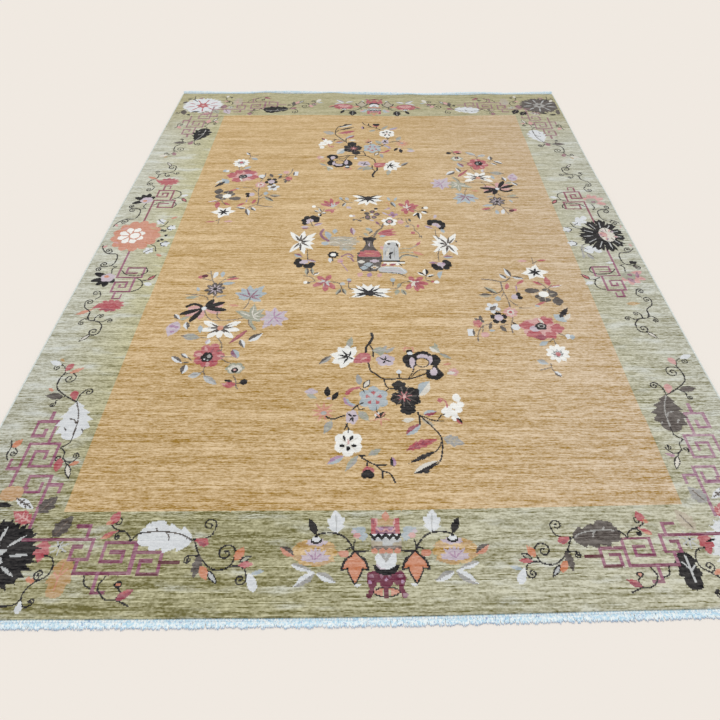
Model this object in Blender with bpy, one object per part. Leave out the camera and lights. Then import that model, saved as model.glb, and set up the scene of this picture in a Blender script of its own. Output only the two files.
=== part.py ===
"""A hand-knotted room-size rug, laid flat: pile cloth, overcast side cords and cut warp fringes.

Metres, +Z up, +Y towards the far end. The underside of the cloth rests on z = 0.
"""

import random

import bmesh
import bpy
import numpy as np

# Driving sizes
PILE_WIDTH = 2.743  # nine feet across
PILE_LENGTH = 3.658  # twelve feet along
CLOTH_THICKNESS = 0.009  # knots, warps and clipped pile together
SHOULDER = 0.003  # how far the clipped pile rounds over at every edge
SEAM_GAP = 0.0003  # between the cloth and what is sewn to its edges

CORD_WIDTH = 0.009  # overcast side cord
CORD_HEIGHT = 0.008
CORD_SIDES = 8

WEB_WIDTH = 0.006  # plain woven strip past the last row of knots
WEB_HEIGHT = 0.003
LOCKS_PER_END = 124
LOCK_LENGTH = 0.022
LOCK_LENGTH_SPREAD = 0.004  # longer or shorter than the mean
LOCK_SHARE = 0.62  # of the pitch, the rest is the gap between two locks
LOCK_TIP_SHARE = 0.7  # a tip's width and height beside its root's
LOCK_SPLAY = 0.003  # how far a tip leans to one side
LOCK_SEEDS = {"near": 12, "far": 31}

# How far the long sides and the ends stray from a true rectangle, positive along +X or +Y.
SIDE_COLUMNS = ("along", "left", "right")
SIDE_ROWS = (
    (0.00, -0.017, -0.017),
    (0.25, -0.016, -0.015),
    (0.50, -0.009, -0.009),
    (0.72, 0.000, -0.003),
    (1.00, 0.010, 0.015),
)
END_COLUMNS = ("across", "near", "far")
END_ROWS = (
    (0.00, -0.017, 0.015),
    (0.18, -0.014, 0.017),
    (0.40, -0.010, 0.021),
    (0.52, -0.006, 0.003),
    (0.68, 0.004, 0.000),
    (0.85, 0.015, 0.010),
    (1.00, 0.024, 0.020),
)

# Low ripples where the cloth lifts off the floor: centre and reach as shares of the rug's sides.
RIPPLE_COLUMNS = ("across", "along", "reach_across", "reach_along", "lift")
RIPPLE_ROWS = (
    (0.225, 1.00, 0.050, 0.110, 0.0080),
    (0.405, 1.00, 0.045, 0.090, 0.0055),
    (0.610, 1.00, 0.040, 0.080, 0.0050),
    (0.815, 1.00, 0.045, 0.090, 0.0045),
    (0.140, 0.00, 0.060, 0.060, 0.0030),
    (0.330, 0.00, 0.060, 0.050, 0.0025),
    (0.760, 0.00, 0.070, 0.060, 0.0030),
    (1.000, 0.62, 0.090, 0.060, 0.0040),
)

GRID_ACROSS = 46
GRID_ALONG = (0.0, 0.012, 0.028, 0.05, 0.08, 0.14, 0.24, 0.36, 0.48, 0.54, 0.58, 0.62,
              0.66, 0.70, 0.78, 0.86, 0.90, 0.93, 0.955, 0.975, 0.99, 1.0)

GOLD_WOOL = ((0.56, 0.38, 0.17), 0.95)
PALE_OVERCAST = ((0.62, 0.62, 0.50), 0.9)
BLUED_COTTON = ((0.72, 0.80, 0.82), 0.9)


def clear_scene():
    for old in list(bpy.data.objects):
        bpy.data.objects.remove(old, do_unlink=True)


def column(rows, names, name):
    return np.array([row[names.index(name)] for row in rows])


def smooth_between(at, stops, values):
    """Value at `at` on a smooth curve through the stops, level at the first and the last."""
    slopes = np.gradient(values, stops)
    slopes[0] = slopes[-1] = 0.0
    i = int(np.clip(np.searchsorted(stops, at) - 1, 0, len(stops) - 2))
    span = stops[i + 1] - stops[i]
    t = (at - stops[i]) / span
    return (
        values[i] * (1 + 2 * t) * (1 - t) ** 2
        + slopes[i] * span * t * (1 - t) ** 2
        + values[i + 1] * t**2 * (3 - 2 * t)
        - slopes[i + 1] * span * t**2 * (1 - t)
    )


def side_x(along, side):
    true_x = -PILE_WIDTH / 2 if side == "left" else PILE_WIDTH / 2
    stops = column(SIDE_ROWS, SIDE_COLUMNS, "along")
    return true_x + smooth_between(along, stops, column(SIDE_ROWS, SIDE_COLUMNS, side))


def end_y(across, end):
    true_y = -PILE_LENGTH / 2 if end == "near" else PILE_LENGTH / 2
    stops = column(END_ROWS, END_COLUMNS, "across")
    return true_y + smooth_between(across, stops, column(END_ROWS, END_COLUMNS, end))


def cloth_lift(across, along):
    """Height of the underside over the floor, the sum of the ripples there."""
    lift = 0.0
    for row in RIPPLE_ROWS:
        ripple = dict(zip(RIPPLE_COLUMNS, row))
        far_x = (across - ripple["across"]) / ripple["reach_across"]
        far_y = (along - ripple["along"]) / ripple["reach_along"]
        away = min(1.0, far_x**2 + far_y**2)
        lift += ripple["lift"] * (1 - away) ** 2
    return lift


def cloth_point(across, along, inset=0.0):
    """A point of the cloth's plan, drawn in from the outline by `inset` at the edges."""
    left, right = side_x(along, "left") + inset, side_x(along, "right") - inset
    near, far = end_y(across, "near") + inset, end_y(across, "far") - inset
    return left + (right - left) * across, near + (far - near) * along


def new_material(name, finish):
    (red, green, blue), roughness = finish
    material = bpy.data.materials.new(name)
    material.use_nodes = True
    shader = material.node_tree.nodes["Principled BSDF"]
    shader.inputs["Base Color"].default_value = (red, green, blue, 1.0)
    shader.inputs["Roughness"].default_value = roughness
    shader.inputs["Metallic"].default_value = 0.0
    return material


def add_object(name, form, material):
    mesh = bpy.data.meshes.new(name)
    bmesh.ops.recalc_face_normals(form, faces=form.faces)
    form.to_mesh(mesh)
    form.free()
    mesh.materials.append(material)
    made = bpy.data.objects.new(name, mesh)
    bpy.context.scene.collection.objects.link(made)
    return made


def bridge(form, lower, upper):
    """Closes the band between two rings with the same number of points."""
    for i in range(len(lower)):
        j = (i + 1) % len(lower)
        form.faces.new((lower[i], lower[j], upper[j], upper[i]))


def make_cloth(material):
    form = bmesh.new()
    across_stops = [i / GRID_ACROSS for i in range(GRID_ACROSS + 1)]

    def layer(inset, height):
        rows = []
        for along in GRID_ALONG:
            row = []
            for across in across_stops:
                x, y = cloth_point(across, along, inset)
                row.append(form.verts.new((x, y, cloth_lift(across, along) + height)))
            rows.append(row)
        return rows

    def rim(rows):
        sides = [row[-1] for row in rows[1:-1]], [row[0] for row in reversed(rows[1:-1])]
        return rows[0] + sides[0] + rows[-1][::-1] + sides[1]

    top = layer(SHOULDER, CLOTH_THICKNESS)
    underside = layer(0.0, 0.0)
    for rows in (top, underside):
        for near_row, far_row in zip(rows, rows[1:]):
            for i in range(GRID_ACROSS):
                form.faces.new((near_row[i], near_row[i + 1], far_row[i + 1], far_row[i]))
    shoulder = [
        form.verts.new((v.co.x, v.co.y, v.co.z + CLOTH_THICKNESS - SHOULDER))
        for v in rim(underside)
    ]
    bridge(form, rim(underside), shoulder)
    bridge(form, shoulder, rim(top))
    return add_object("rug_body", form, material)


def make_side_cord(side, material):
    form = bmesh.new()
    out = -1 if side == "left" else 1
    edge = 0.0 if side == "left" else 1.0
    rings = []
    for along in GRID_ALONG:
        x, y = cloth_point(edge, along)
        middle_x = x + out * (SEAM_GAP + CORD_WIDTH / 2)
        middle_z = cloth_lift(edge, along) + CORD_HEIGHT / 2
        ring = []
        for i in range(CORD_SIDES):
            angle = 2 * np.pi * (i + 0.5) / CORD_SIDES
            reach = np.cos(np.pi / CORD_SIDES)  # brings the flats, not the corners, to size
            ring.append(
                form.verts.new((
                    middle_x + np.cos(angle) * CORD_WIDTH / 2 / reach,
                    y,
                    middle_z + np.sin(angle) * CORD_HEIGHT / 2 / reach,
                ))
            )
        rings.append(ring)
    for ring, next_ring in zip(rings, rings[1:]):
        bridge(form, ring, next_ring)
    form.faces.new(rings[0])
    form.faces.new(rings[-1])
    return add_object("selvedge_" + side, form, material)


def make_fringe(name, end, material):
    """A woven web along one end, with the locks drawn out of its outer face."""
    form = bmesh.new()
    rand = random.Random(LOCK_SEEDS[end])
    out = -1 if end == "near" else 1
    along = 0.0 if end == "near" else 1.0
    across_stops = np.linspace(0, 1, GRID_ACROSS + 1)
    points = [cloth_point(across, along) for across in across_stops]
    lifts = [cloth_lift(across, along) for across in across_stops]

    def web_corners(across):
        """Inner low, inner high, outer high and outer low corner of the web there."""
        x = np.interp(across, across_stops, [point[0] for point in points])
        y = np.interp(across, across_stops, [point[1] for point in points])
        low = np.interp(across, across_stops, lifts)
        inner, outer = y + out * SEAM_GAP, y + out * (SEAM_GAP + WEB_WIDTH)
        places = ((inner, low), (inner, low + WEB_HEIGHT), (outer, low + WEB_HEIGHT), (outer, low))
        return [form.verts.new((x, at_y, at_z)) for at_y, at_z in places]

    def draw_out(root, pitch):
        """One lock, from four corners of the web's outer face to a smaller tip on the floor."""
        length = LOCK_LENGTH + rand.uniform(-LOCK_LENGTH_SPREAD, LOCK_LENGTH_SPREAD)
        lean = rand.uniform(-LOCK_SPLAY, LOCK_SPLAY)
        middle = sum(v.co.x for v in root) / len(root) + lean
        half = pitch * LOCK_SHARE * LOCK_TIP_SHARE / 2
        tip_y = root[0].co.y + out * length
        tip_high = WEB_HEIGHT * LOCK_TIP_SHARE
        places = ((-half, tip_high), (half, tip_high), (half, 0.0), (-half, 0.0))
        tip = [form.verts.new((middle + at_x, tip_y, at_z)) for at_x, at_z in places]
        bridge(form, root, tip)
        form.faces.new(tip)

    pitch = 1 / LOCKS_PER_END
    sections = [web_corners(0.0)]
    for i in range(LOCKS_PER_END):
        for share in (0.5 - LOCK_SHARE / 2, 0.5 + LOCK_SHARE / 2):
            sections.append(web_corners((i + share) * pitch))
        before, after = sections[-2:]
        draw_out([before[2], after[2], after[3], before[3]], pitch * PILE_WIDTH)
    sections.append(web_corners(1.0))
    for i, (section, following) in enumerate(zip(sections, sections[1:])):
        has_lock = i % 2 == 1
        for corner in range(4):
            if corner == 2 and has_lock:
                continue
            next_corner = (corner + 1) % 4
            form.faces.new((
                section[corner], section[next_corner], following[next_corner], following[corner],
            ))
    form.faces.new(sections[0])
    form.faces.new(sections[-1])
    return add_object(name, form, material)


def centre_on_origin(pieces):
    """Brings the middle of the whole outline over the origin, in each piece's own mesh."""
    corners = np.array([vertex.co for piece in pieces for vertex in piece.data.vertices])
    middle = (corners.min(axis=0) + corners.max(axis=0)) / 2
    for piece in pieces:
        for vertex in piece.data.vertices:
            vertex.co.x -= middle[0]
            vertex.co.y -= middle[1]
        piece.data.update()


def main():
    clear_scene()
    wool = new_material("gold wool pile", GOLD_WOOL)
    overcast = new_material("pale overcast wool", PALE_OVERCAST)
    cotton = new_material("blued cotton warp", BLUED_COTTON)
    pieces = [
        make_cloth(wool),
        make_side_cord("left", overcast),
        make_side_cord("right", overcast),
        make_fringe("fringe_front", "near", cotton),
        make_fringe("fringe_back", "far", cotton),
    ]
    centre_on_origin(pieces)


main()
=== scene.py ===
import math
import random

import bpy
import numpy as np
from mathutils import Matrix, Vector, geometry


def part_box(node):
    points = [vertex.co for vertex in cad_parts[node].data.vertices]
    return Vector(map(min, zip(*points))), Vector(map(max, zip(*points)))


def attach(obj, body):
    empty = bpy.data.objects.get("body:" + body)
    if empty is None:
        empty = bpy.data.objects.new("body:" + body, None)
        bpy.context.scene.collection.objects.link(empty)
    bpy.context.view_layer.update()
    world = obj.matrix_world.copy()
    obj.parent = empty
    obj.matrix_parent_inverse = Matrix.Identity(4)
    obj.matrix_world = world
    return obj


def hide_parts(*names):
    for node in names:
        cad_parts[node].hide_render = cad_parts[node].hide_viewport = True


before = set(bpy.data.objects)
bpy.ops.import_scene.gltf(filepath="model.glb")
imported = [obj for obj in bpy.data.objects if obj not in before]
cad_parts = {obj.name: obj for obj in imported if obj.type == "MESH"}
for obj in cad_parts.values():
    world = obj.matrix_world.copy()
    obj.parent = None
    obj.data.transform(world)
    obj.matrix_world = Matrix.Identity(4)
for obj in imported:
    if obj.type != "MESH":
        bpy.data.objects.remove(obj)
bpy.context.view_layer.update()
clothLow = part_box("rug_body")[0]
print("frame loaded")

# the camera stands where the photo was taken from; a bright room lights the rug evenly

cameraSetup = {
    "place": (-0.0524, -2.3421, 1.6785),
    "turn": (0.73445, -0.00219, -0.00053),
    "lens": 27.08,
    "sensor": 36.0,
    "clipEnd": 200,
}
studio = {
    "roomColour": (1.0, 0.995, 0.985),
    "roomStrength": 0.80,
    "lampColour": (1.0, 0.985, 0.96),
    "lampStrength": 0.75,
    "lampTurn": (-0.75, 0.25, 0.0),  # from the far side, high up
    "lampSoftness": 0.6,
    "floorHalf": 30.0,
    "floorColour": (0.899, 0.847, 0.793),
}

bpy.ops.object.select_all(action="DESELECT")
bpy.ops.object.camera_add(location=cameraSetup["place"], rotation=cameraSetup["turn"])
camera = bpy.context.object
camera.name = "photoCamera"
camera.data.lens = cameraSetup["lens"]
camera.data.sensor_width = cameraSetup["sensor"]
camera.data.clip_end = cameraSetup["clipEnd"]
bpy.context.scene.camera = camera

room = bpy.data.worlds.new("paleRoom")
bpy.context.scene.world = room
room.use_nodes = True
roomLight = room.node_tree.nodes["Background"]
roomLight.inputs["Color"].default_value = (*studio["roomColour"], 1)
roomLight.inputs["Strength"].default_value = studio["roomStrength"]
bpy.context.scene.view_settings.view_transform = "Standard"

bpy.ops.object.light_add(type="SUN", rotation=studio["lampTurn"])
lamp = bpy.context.object
lamp.name = "softLamp"
lamp.data.energy = studio["lampStrength"]
lamp.data.color = studio["lampColour"]
lamp.data.angle = studio["lampSoftness"]

bpy.ops.object.select_all(action="DESELECT")
bpy.ops.mesh.primitive_plane_add(size=2 * studio["floorHalf"])
floor = bpy.context.object
floor.name = "paleFloor"
floorPaint = bpy.data.materials.new("pale floor")
floorPaint.use_nodes = True
floorShader = floorPaint.node_tree.nodes["Principled BSDF"]
floorShader.inputs["Base Color"].default_value = (*studio["floorColour"], 1)
floorShader.inputs["Roughness"].default_value = 1.0
floorShader.inputs["Specular IOR Level"].default_value = 0.0
floor.data.materials.append(floorPaint)
print("camera, light and floor ready")

# the rug's outline, as the frame has it, so that the pile follows it exactly

rugPlan = {
    "width": 2.743,
    "length": 3.658,
    "thickness": 0.009,
    "seamGap": 0.0003,
    # how far the outline strays: share along, left side, right side
    "sides": ((0.00, -0.017, -0.017), (0.25, -0.016, -0.015), (0.50, -0.009, -0.009),
              (0.72, 0.000, -0.003), (1.00, 0.010, 0.015)),
    # share across, near end, far end
    "ends": ((0.00, -0.017, 0.015), (0.18, -0.014, 0.017), (0.40, -0.010, 0.021), (0.52, -0.006, 0.003),
             (0.68, 0.004, 0.000), (0.85, 0.015, 0.010), (1.00, 0.024, 0.020)),
    # low ripples: share across and along, reach across and along, lift
    "ripples": ((0.225, 1.00, 0.050, 0.110, 0.0080), (0.405, 1.00, 0.045, 0.090, 0.0055),
                (0.610, 1.00, 0.040, 0.080, 0.0050), (0.815, 1.00, 0.045, 0.090, 0.0045),
                (0.140, 0.00, 0.060, 0.060, 0.0030), (0.330, 0.00, 0.060, 0.050, 0.0025),
                (0.760, 0.00, 0.070, 0.060, 0.0030), (1.000, 0.62, 0.090, 0.060, 0.0040)),
}


def smoothBetween(at, stops, values):
    at = np.clip(at, 0.0, 1.0)
    slopes = np.gradient(values, stops)
    slopes[0] = slopes[-1] = 0.0
    i = np.clip(np.searchsorted(stops, at) - 1, 0, len(stops) - 2)
    span = stops[i + 1] - stops[i]
    t = (at - stops[i]) / span
    return (
        values[i] * (1 + 2 * t) * (1 - t) ** 2
        + slopes[i] * span * t * (1 - t) ** 2
        + values[i + 1] * t**2 * (3 - 2 * t)
        - slopes[i + 1] * span * t**2 * (1 - t)
    )


sideTable = np.array(rugPlan["sides"])
endTable = np.array(rugPlan["ends"])
# the frame stands a little off the plan's own middle
planShift = (
    clothLow.x + rugPlan["width"] / 2 - sideTable[:, 1:].min(axis=0)[0],
    clothLow.y + rugPlan["length"] / 2 - endTable[:, 1].min(),
)


def planPoint(across, along, inset=0.0):
    halfWidth, halfLength = rugPlan["width"] / 2, rugPlan["length"] / 2
    left = -halfWidth + smoothBetween(along, sideTable[:, 0], sideTable[:, 1]) + inset
    right = halfWidth + smoothBetween(along, sideTable[:, 0], sideTable[:, 2]) - inset
    near = -halfLength + smoothBetween(across, endTable[:, 0], endTable[:, 1]) + inset
    far = halfLength + smoothBetween(across, endTable[:, 0], endTable[:, 2]) - inset
    return left + (right - left) * across + planShift[0], near + (far - near) * along + planShift[1]


def clothLift(across, along):
    lift = np.zeros_like(across, dtype=float)
    for middleX, middleY, reachX, reachY, height in rugPlan["ripples"]:
        away = ((across - middleX) / reachX) ** 2 + ((along - middleY) / reachY) ** 2
        lift += height * (1 - np.minimum(1.0, away)) ** 2
    return lift


# the knot chart says which dye each knot of the pile has

chart = {
    "knotsAcross": 768,
    "knotsAlong": 1024,
    "block": 16,  # knots to a side of one patch of the mesh
    # corners of the gold ground
    "field": ((-1.016, -1.500), (1.050, -1.500), (1.036, 1.480), (-1.006, 1.462)),
    "ragged": 0.035,  # share of edge knots that stray by one
    "seed": 8,
    "leastHalf": 0.68,  # half the width of the thinnest line, in knots
    "veinWidth": 0.3,  # this and what follows in centimetres or as shares
    "edgeWidth": 0.45,
    "edgeInset": 0.12,
    # a leaf's middle vein, where its side veins start and how far each runs on and aside
    "midrib": 0.85,
    "firstVein": 0.25,
    "veinSpread": 0.45,
    "veinRun": 0.13,
    "veinAside": 0.27,
    # an aster petal's side points: root, tip and how far aside; its pale line: from, to, aside
    "pointFrom": 0.4,
    "pointTo": 0.98,
    "pointAside": 0.2,
    "paleFrom": 0.45,
    "paleTo": 0.8,
    "paleAside": 0.04,
    "toothFrom": 0.74,  # width between a leaf's teeth and how much a tooth adds
    "toothRise": 0.40,
    "lobeFullness": 0.7,
    "coilTurns": 1.35,
    "coilHeart": 0.16,  # how near to its middle a tendril coils
    "coilDot": 0.14,
    "coilClosing": 0.95,
    "leastDot": 0.3,
    # points along a stroke: a blade, a tooth, a lobe, a round form, a coil
    "bladeSteps": 19,
    "toothSteps": 8,
    "lobeSteps": 12,
    "roundSteps": 24,
    "coilSteps": 26,
}
# name: sRGB colour, how much pale wool streaks it
dyes = {
    "green": ((110, 105, 62), 1.0),
    "gold": ((156, 119, 44), 1.0),
    "black": ((16, 15, 20), 0.07),
    "ink": ((30, 28, 33), 0.08),
    "bark": ((92, 76, 64), 0.32),
    "umber": ((72, 64, 60), 0.20),
    "white": ((216, 220, 224), 0.14),
    "snow": ((236, 236, 232), 0.06),
    "cream": ((214, 210, 200), 0.2),
    "silver": ((186, 189, 190), 0.14),
    "grey": ((150, 150, 148), 0.3),
    "cloud": ((172, 162, 140), 0.3),
    "sage": ((146, 150, 130), 0.4),
    "sky": ((160, 174, 182), 0.3),
    "lilac": ((190, 176, 190), 0.3),
    "mauve": ((164, 124, 160), 0.3),
    "blush": ((202, 146, 144), 0.4),
    "rose": ((172, 66, 78), 0.3),
    "deepRose": ((144, 54, 76), 0.22),
    "plum": ((128, 70, 102), 0.3),
    "fret": ((140, 68, 104), 0.3),
    "fretRow": ((118, 42, 78), 0.24),
    "fretPale": ((140, 78, 116), 0.45),
    "fretDeep": ((86, 20, 38), 0.12),
    "apricot": ((190, 150, 104), 0.4),
    "fretFar": ((128, 64, 84), 0.48),
    "fretRose": ((130, 52, 78), 0.26),
    "garnet": ((104, 30, 60), 0.12),
    "wine": ((88, 26, 44), 0.1),
    "coral": ((198, 130, 104), 0.3),
    "orange": ((198, 122, 84), 0.3),
    "amber": ((176, 138, 80), 0.35),
}
dyeNames = list(dyes)
knotsAcross, knotsAlong = chart["knotsAcross"], chart["knotsAlong"]
knots = np.zeros((knotsAlong, knotsAcross), np.uint8)
knotSize = 100 * rugPlan["width"] / knotsAcross  # the motifs are drawn in centimetres
pen = {"flipX": 1, "flipY": 1, "x": 0.0, "y": 0.0, "swap": {}}


def onChart(points):
    points = np.asarray(points, float).reshape(-1, 2)
    x = points[:, 0] * pen["flipX"] + pen["x"]
    y = points[:, 1] * pen["flipY"] + pen["y"]
    return np.c_[x / knotSize + knotsAcross / 2, y / knotSize + knotsAlong / 2]


def dyeNumber(name):
    return dyeNames.index(pen["swap"].get(name, name))


def chartWindow(low, high):
    low = np.clip(np.floor(low).astype(int), 0, (knotsAcross, knotsAlong))
    high = np.clip(np.ceil(high).astype(int) + 1, 0, (knotsAcross, knotsAlong))
    middleX = np.arange(low[0], high[0]) + 0.5
    middleY = np.arange(low[1], high[1]) + 0.5
    return knots[low[1]:high[1], low[0]:high[0]], middleX, middleY


def fillShape(dye, outline):
    corners = onChart(outline)
    window, middleX, middleY = chartWindow(corners.min(axis=0), corners.max(axis=0))
    inside = np.zeros(window.shape, bool)
    for (startX, startY), (endX, endY) in zip(corners, np.roll(corners, -1, axis=0)):
        crossed = (startY > middleY) != (endY > middleY)
        if crossed.any():
            at = startX + (middleY[crossed] - startY) * (endX - startX) / (endY - startY)
            inside[crossed] ^= middleX[None, :] < at[:, None]
    window[inside] = dyeNumber(dye)


def drawLine(dye, width, path):
    path = onChart(path)
    half = max(width / knotSize / 2, chart["leastHalf"])
    for start, end in zip(path, path[1:]):
        window, middleX, middleY = chartWindow(np.minimum(start, end) - half, np.maximum(start, end) + half)
        gridX, gridY = np.meshgrid(middleX, middleY)
        run = end - start
        t = ((gridX - start[0]) * run[0] + (gridY - start[1]) * run[1]) / max(run @ run, 1e-9)
        t = np.clip(t, 0, 1)
        away = np.hypot(gridX - start[0] - t * run[0], gridY - start[1] - t * run[1])
        window[away <= half] = dyeNumber(dye)


def smoothPath(flatPoints):
    points = np.asarray(flatPoints, float).reshape(-1, 2)
    if len(points) < 3:
        return points
    padded = np.vstack([2 * points[0] - points[1], points, 2 * points[-1] - points[-2]])
    path = []
    for a, b, c, d in zip(padded, padded[1:], padded[2:], padded[3:]):
        for t in (0.0, 0.2, 0.4, 0.6, 0.8):
            path.append(0.5 * (2 * b + (c - a) * t + (2 * a - 5 * b + 4 * c - d) * t**2
                               + (3 * b - a - 3 * c + d) * t**3))
    return np.array(path + [points[-1]])


bladeForms = {
    "leaf": lambda t: np.sin(np.pi * t**0.85),
    "spear": lambda t: np.sin(np.pi * t**0.75) ** 1.3,
    "petal": lambda t: np.sin(np.pi * t**1.4) ** 0.6,
    "drop": lambda t: np.sin(np.pi * t**2.0) ** 0.6,
    "strap": lambda t: np.sin(np.pi * t) ** 0.35,
}


def bladeOutline(x0, y0, x1, y1, width, form="leaf", bend=0.0, teeth=0, side=0):
    steps = chart["toothSteps"] * int(teeth) + 1 if teeth else chart["bladeSteps"]
    t = np.linspace(0, 1, steps)
    half = bladeForms[form](np.clip(t, 1e-6, 1 - 1e-6)) * width / 2
    if teeth:
        half = half * (chart["toothFrom"] + chart["toothRise"] * np.mod(t * teeth, 1.0))
    run = np.array((x1 - x0, y1 - y0))
    normal = np.array((-run[1], run[0]))
    axis = np.array((x0, y0)) + t[:, None] * run + (bend * 4 * t * (1 - t))[:, None] * normal
    normal = normal / np.hypot(*run)
    left = axis if side < 0 else axis + half[:, None] * normal
    right = axis if side > 0 else axis - half[:, None] * normal
    return np.vstack([left, right[::-1]]), axis


def blade(dye, x0, y0, x1, y1, width, form="leaf", bend=0.0, teeth=0):
    fillShape(dye, bladeOutline(x0, y0, x1, y1, width, form, bend, teeth)[0])


def edged(dye, edge, x0, y0, x1, y1, width):
    # a leaf inside a slightly larger one
    blade(edge, x0, y0, x1, y1, width)
    insetX, insetY = chart["edgeInset"] * (x1 - x0), chart["edgeInset"] * (y1 - y0)
    blade(dye, x0 + insetX, y0 + insetY, x1 - insetX, y1 - insetY, width - 2 * chart["edgeWidth"])


def split(leftDye, rightDye, x0, y0, x1, y1, width):
    for dye, side in ((leftDye, 1), (rightDye, -1)):
        fillShape(dye, bladeOutline(x0, y0, x1, y1, width, side=side)[0])


def veined(dye, vein, x0, y0, x1, y1, width, bend, teeth, pairs):
    outline, axis = bladeOutline(x0, y0, x1, y1, width, "leaf", bend, teeth)
    fillShape(dye, outline)
    drawLine(vein, chart["veinWidth"], axis[: int(len(axis) * chart["midrib"])])
    run = np.array((x1 - x0, y1 - y0))
    normal = np.array((-run[1], run[0])) / np.hypot(*run)
    for i in range(int(pairs)):
        share = chart["firstVein"] + chart["veinSpread"] * i / max(pairs, 1)
        root = axis[int(len(axis) * share)]
        for side in (-1, 1):
            tip = root + run * chart["veinRun"] + side * normal * width * chart["veinAside"]
            drawLine(vein, chart["veinWidth"], (root, tip))


def star(dye, form, width, x, y, *tips):
    for tipX, tipY in zip(tips[::2], tips[1::2]):
        blade(dye, x, y, tipX, tipY, width, form)


def bloom(dye, form, x, y, reach, count, width, turn, start=0.0, stretch=1.0, teeth=0):
    for i in range(int(count)):
        angle = math.radians(turn + 360 * i / count)
        outX, outY = math.cos(angle) * stretch, math.sin(angle)
        root = (x + start * outX, y + start * outY)
        blade(dye, *root, x + reach * outX, y + reach * outY, width, form, 0.0, teeth)


def disc(dye, x, y, reachX, reachY=None):
    angle = np.linspace(0, 2 * np.pi, chart["roundSteps"], endpoint=False)
    fillShape(dye, np.c_[x + reachX * np.cos(angle), y + (reachY or reachX) * np.sin(angle)])


def dots(dye, reach, *places):
    for x, y in zip(places[::2], places[1::2]):
        disc(dye, x, y, reach)


def scallop(dye, x, y, reachX, reachY, lobes, depth, turn=0.0):
    angle = np.linspace(0, 2 * np.pi, int(chart["lobeSteps"] * lobes), endpoint=False)
    lobe = np.abs(np.cos(lobes * (angle - math.radians(turn)) / 2)) ** chart["lobeFullness"]
    reach = 1 - depth + depth * lobe
    fillShape(dye, np.c_[x + reachX * reach * np.cos(angle), y + reachY * reach * np.sin(angle)])


def ring(dye, width, x, y, reachX, reachY, fromAngle=0, toAngle=360):
    angle = np.radians(np.linspace(fromAngle, toAngle, chart["roundSteps"]))
    drawLine(dye, width, np.c_[x + reachX * np.cos(angle), y + reachY * np.sin(angle)])


def stem(dye, width, *points):
    drawLine(dye, width, smoothPath(points))


def tendril(dye, width, reach, hand, *points):
    path = smoothPath(points)
    heading = path[-1] - path[-2]
    heading = heading / np.hypot(*heading)
    toMiddle = hand * np.array((-heading[1], heading[0]))
    middle = path[-1] + reach * toMiddle
    first = math.atan2(-toMiddle[1], -toMiddle[0])
    t = np.linspace(0, 1, chart["coilSteps"])
    angle = first + hand * t * 2 * chart["coilTurns"] * np.pi
    away = reach * (1 - (1 - chart["coilHeart"]) * t ** chart["coilClosing"])
    curl = np.c_[middle[0] + away * np.cos(angle), middle[1] + away * np.sin(angle)]
    drawLine(dye, width, np.vstack([path, curl]))
    disc(dye, *curl[-1], max(chart["coilDot"] * reach, chart["leastDot"]))


def panel(dye, *points):
    fillShape(dye, points)


def rod(dye, width, *points):
    points = np.asarray(points, float).reshape(-1, 2)
    for start, end in zip(points, points[1:]):
        (left, low), (right, high) = np.minimum(start, end) - width / 2, np.maximum(start, end) + width / 2
        runDye = "fretRow" if dye == "fret" and start[1] == end[1] else dye
        panel(runDye, left, low, right, low, right, high, left, high)


def zigzag(dye, width, x0, x1, low, high, count):
    share = np.linspace(0, 1, 2 * int(count) + 1)
    drawLine(dye, width, np.c_[x0 + (x1 - x0) * share, np.where(np.arange(len(share)) % 2, high, low)])


def aster(dye, vein, width, x, y, *tips):
    # petals that end in three points, each with a pale line
    middle = np.array((x, y), float)
    for tip in np.asarray(tips, float).reshape(-1, 2):
        run = tip - middle
        aside = np.array((-run[1], run[0]))
        blade(dye, x, y, *tip, width, "petal")
        for side in (-1, 1):
            root = middle + chart["pointFrom"] * run
            point = middle + chart["pointTo"] * run + side * chart["pointAside"] * aside
            blade(dye, *root, *point, width / 2)
        beside = middle + chart["paleAside"] * aside
        drawLine(vein, chart["veinWidth"], (beside + chart["paleFrom"] * run, beside + chart["paleTo"] * run))


def turned(dye, middleX, *profile):
    # a form alike on both sides: y and half width, from the foot up
    height, half = smoothPath(profile).T
    fillShape(dye, np.vstack([np.c_[middleX - half, height], np.c_[middleX + half, height][::-1]]))


strokes = {stroke.__name__: stroke for stroke in (
    blade, edged, split, veined, star, bloom, disc, dots, scallop, ring, stem, tendril, panel, rod, zigzag,
    aster, turned,
)}


def readStrokes(motif):
    # a row is a stroke's name, its dyes and its measures in centimetres
    rows = []
    for word in motif.split():
        if word in strokes:
            rows.append([word])
        else:
            rows[-1].append(word if word.isalpha() else float(word))
    return rows


def weave(motif, flipX=1, flipY=1, x=0.0, y=0.0, swap=None):
    pen.update(flipX=flipX, flipY=flipY, x=x, y=y, swap=swap or {})
    for kind, *values in readStrokes(motif):
        strokes[kind](*values)


# the motifs, each drawn for one quarter or one spray and turned for the others

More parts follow.
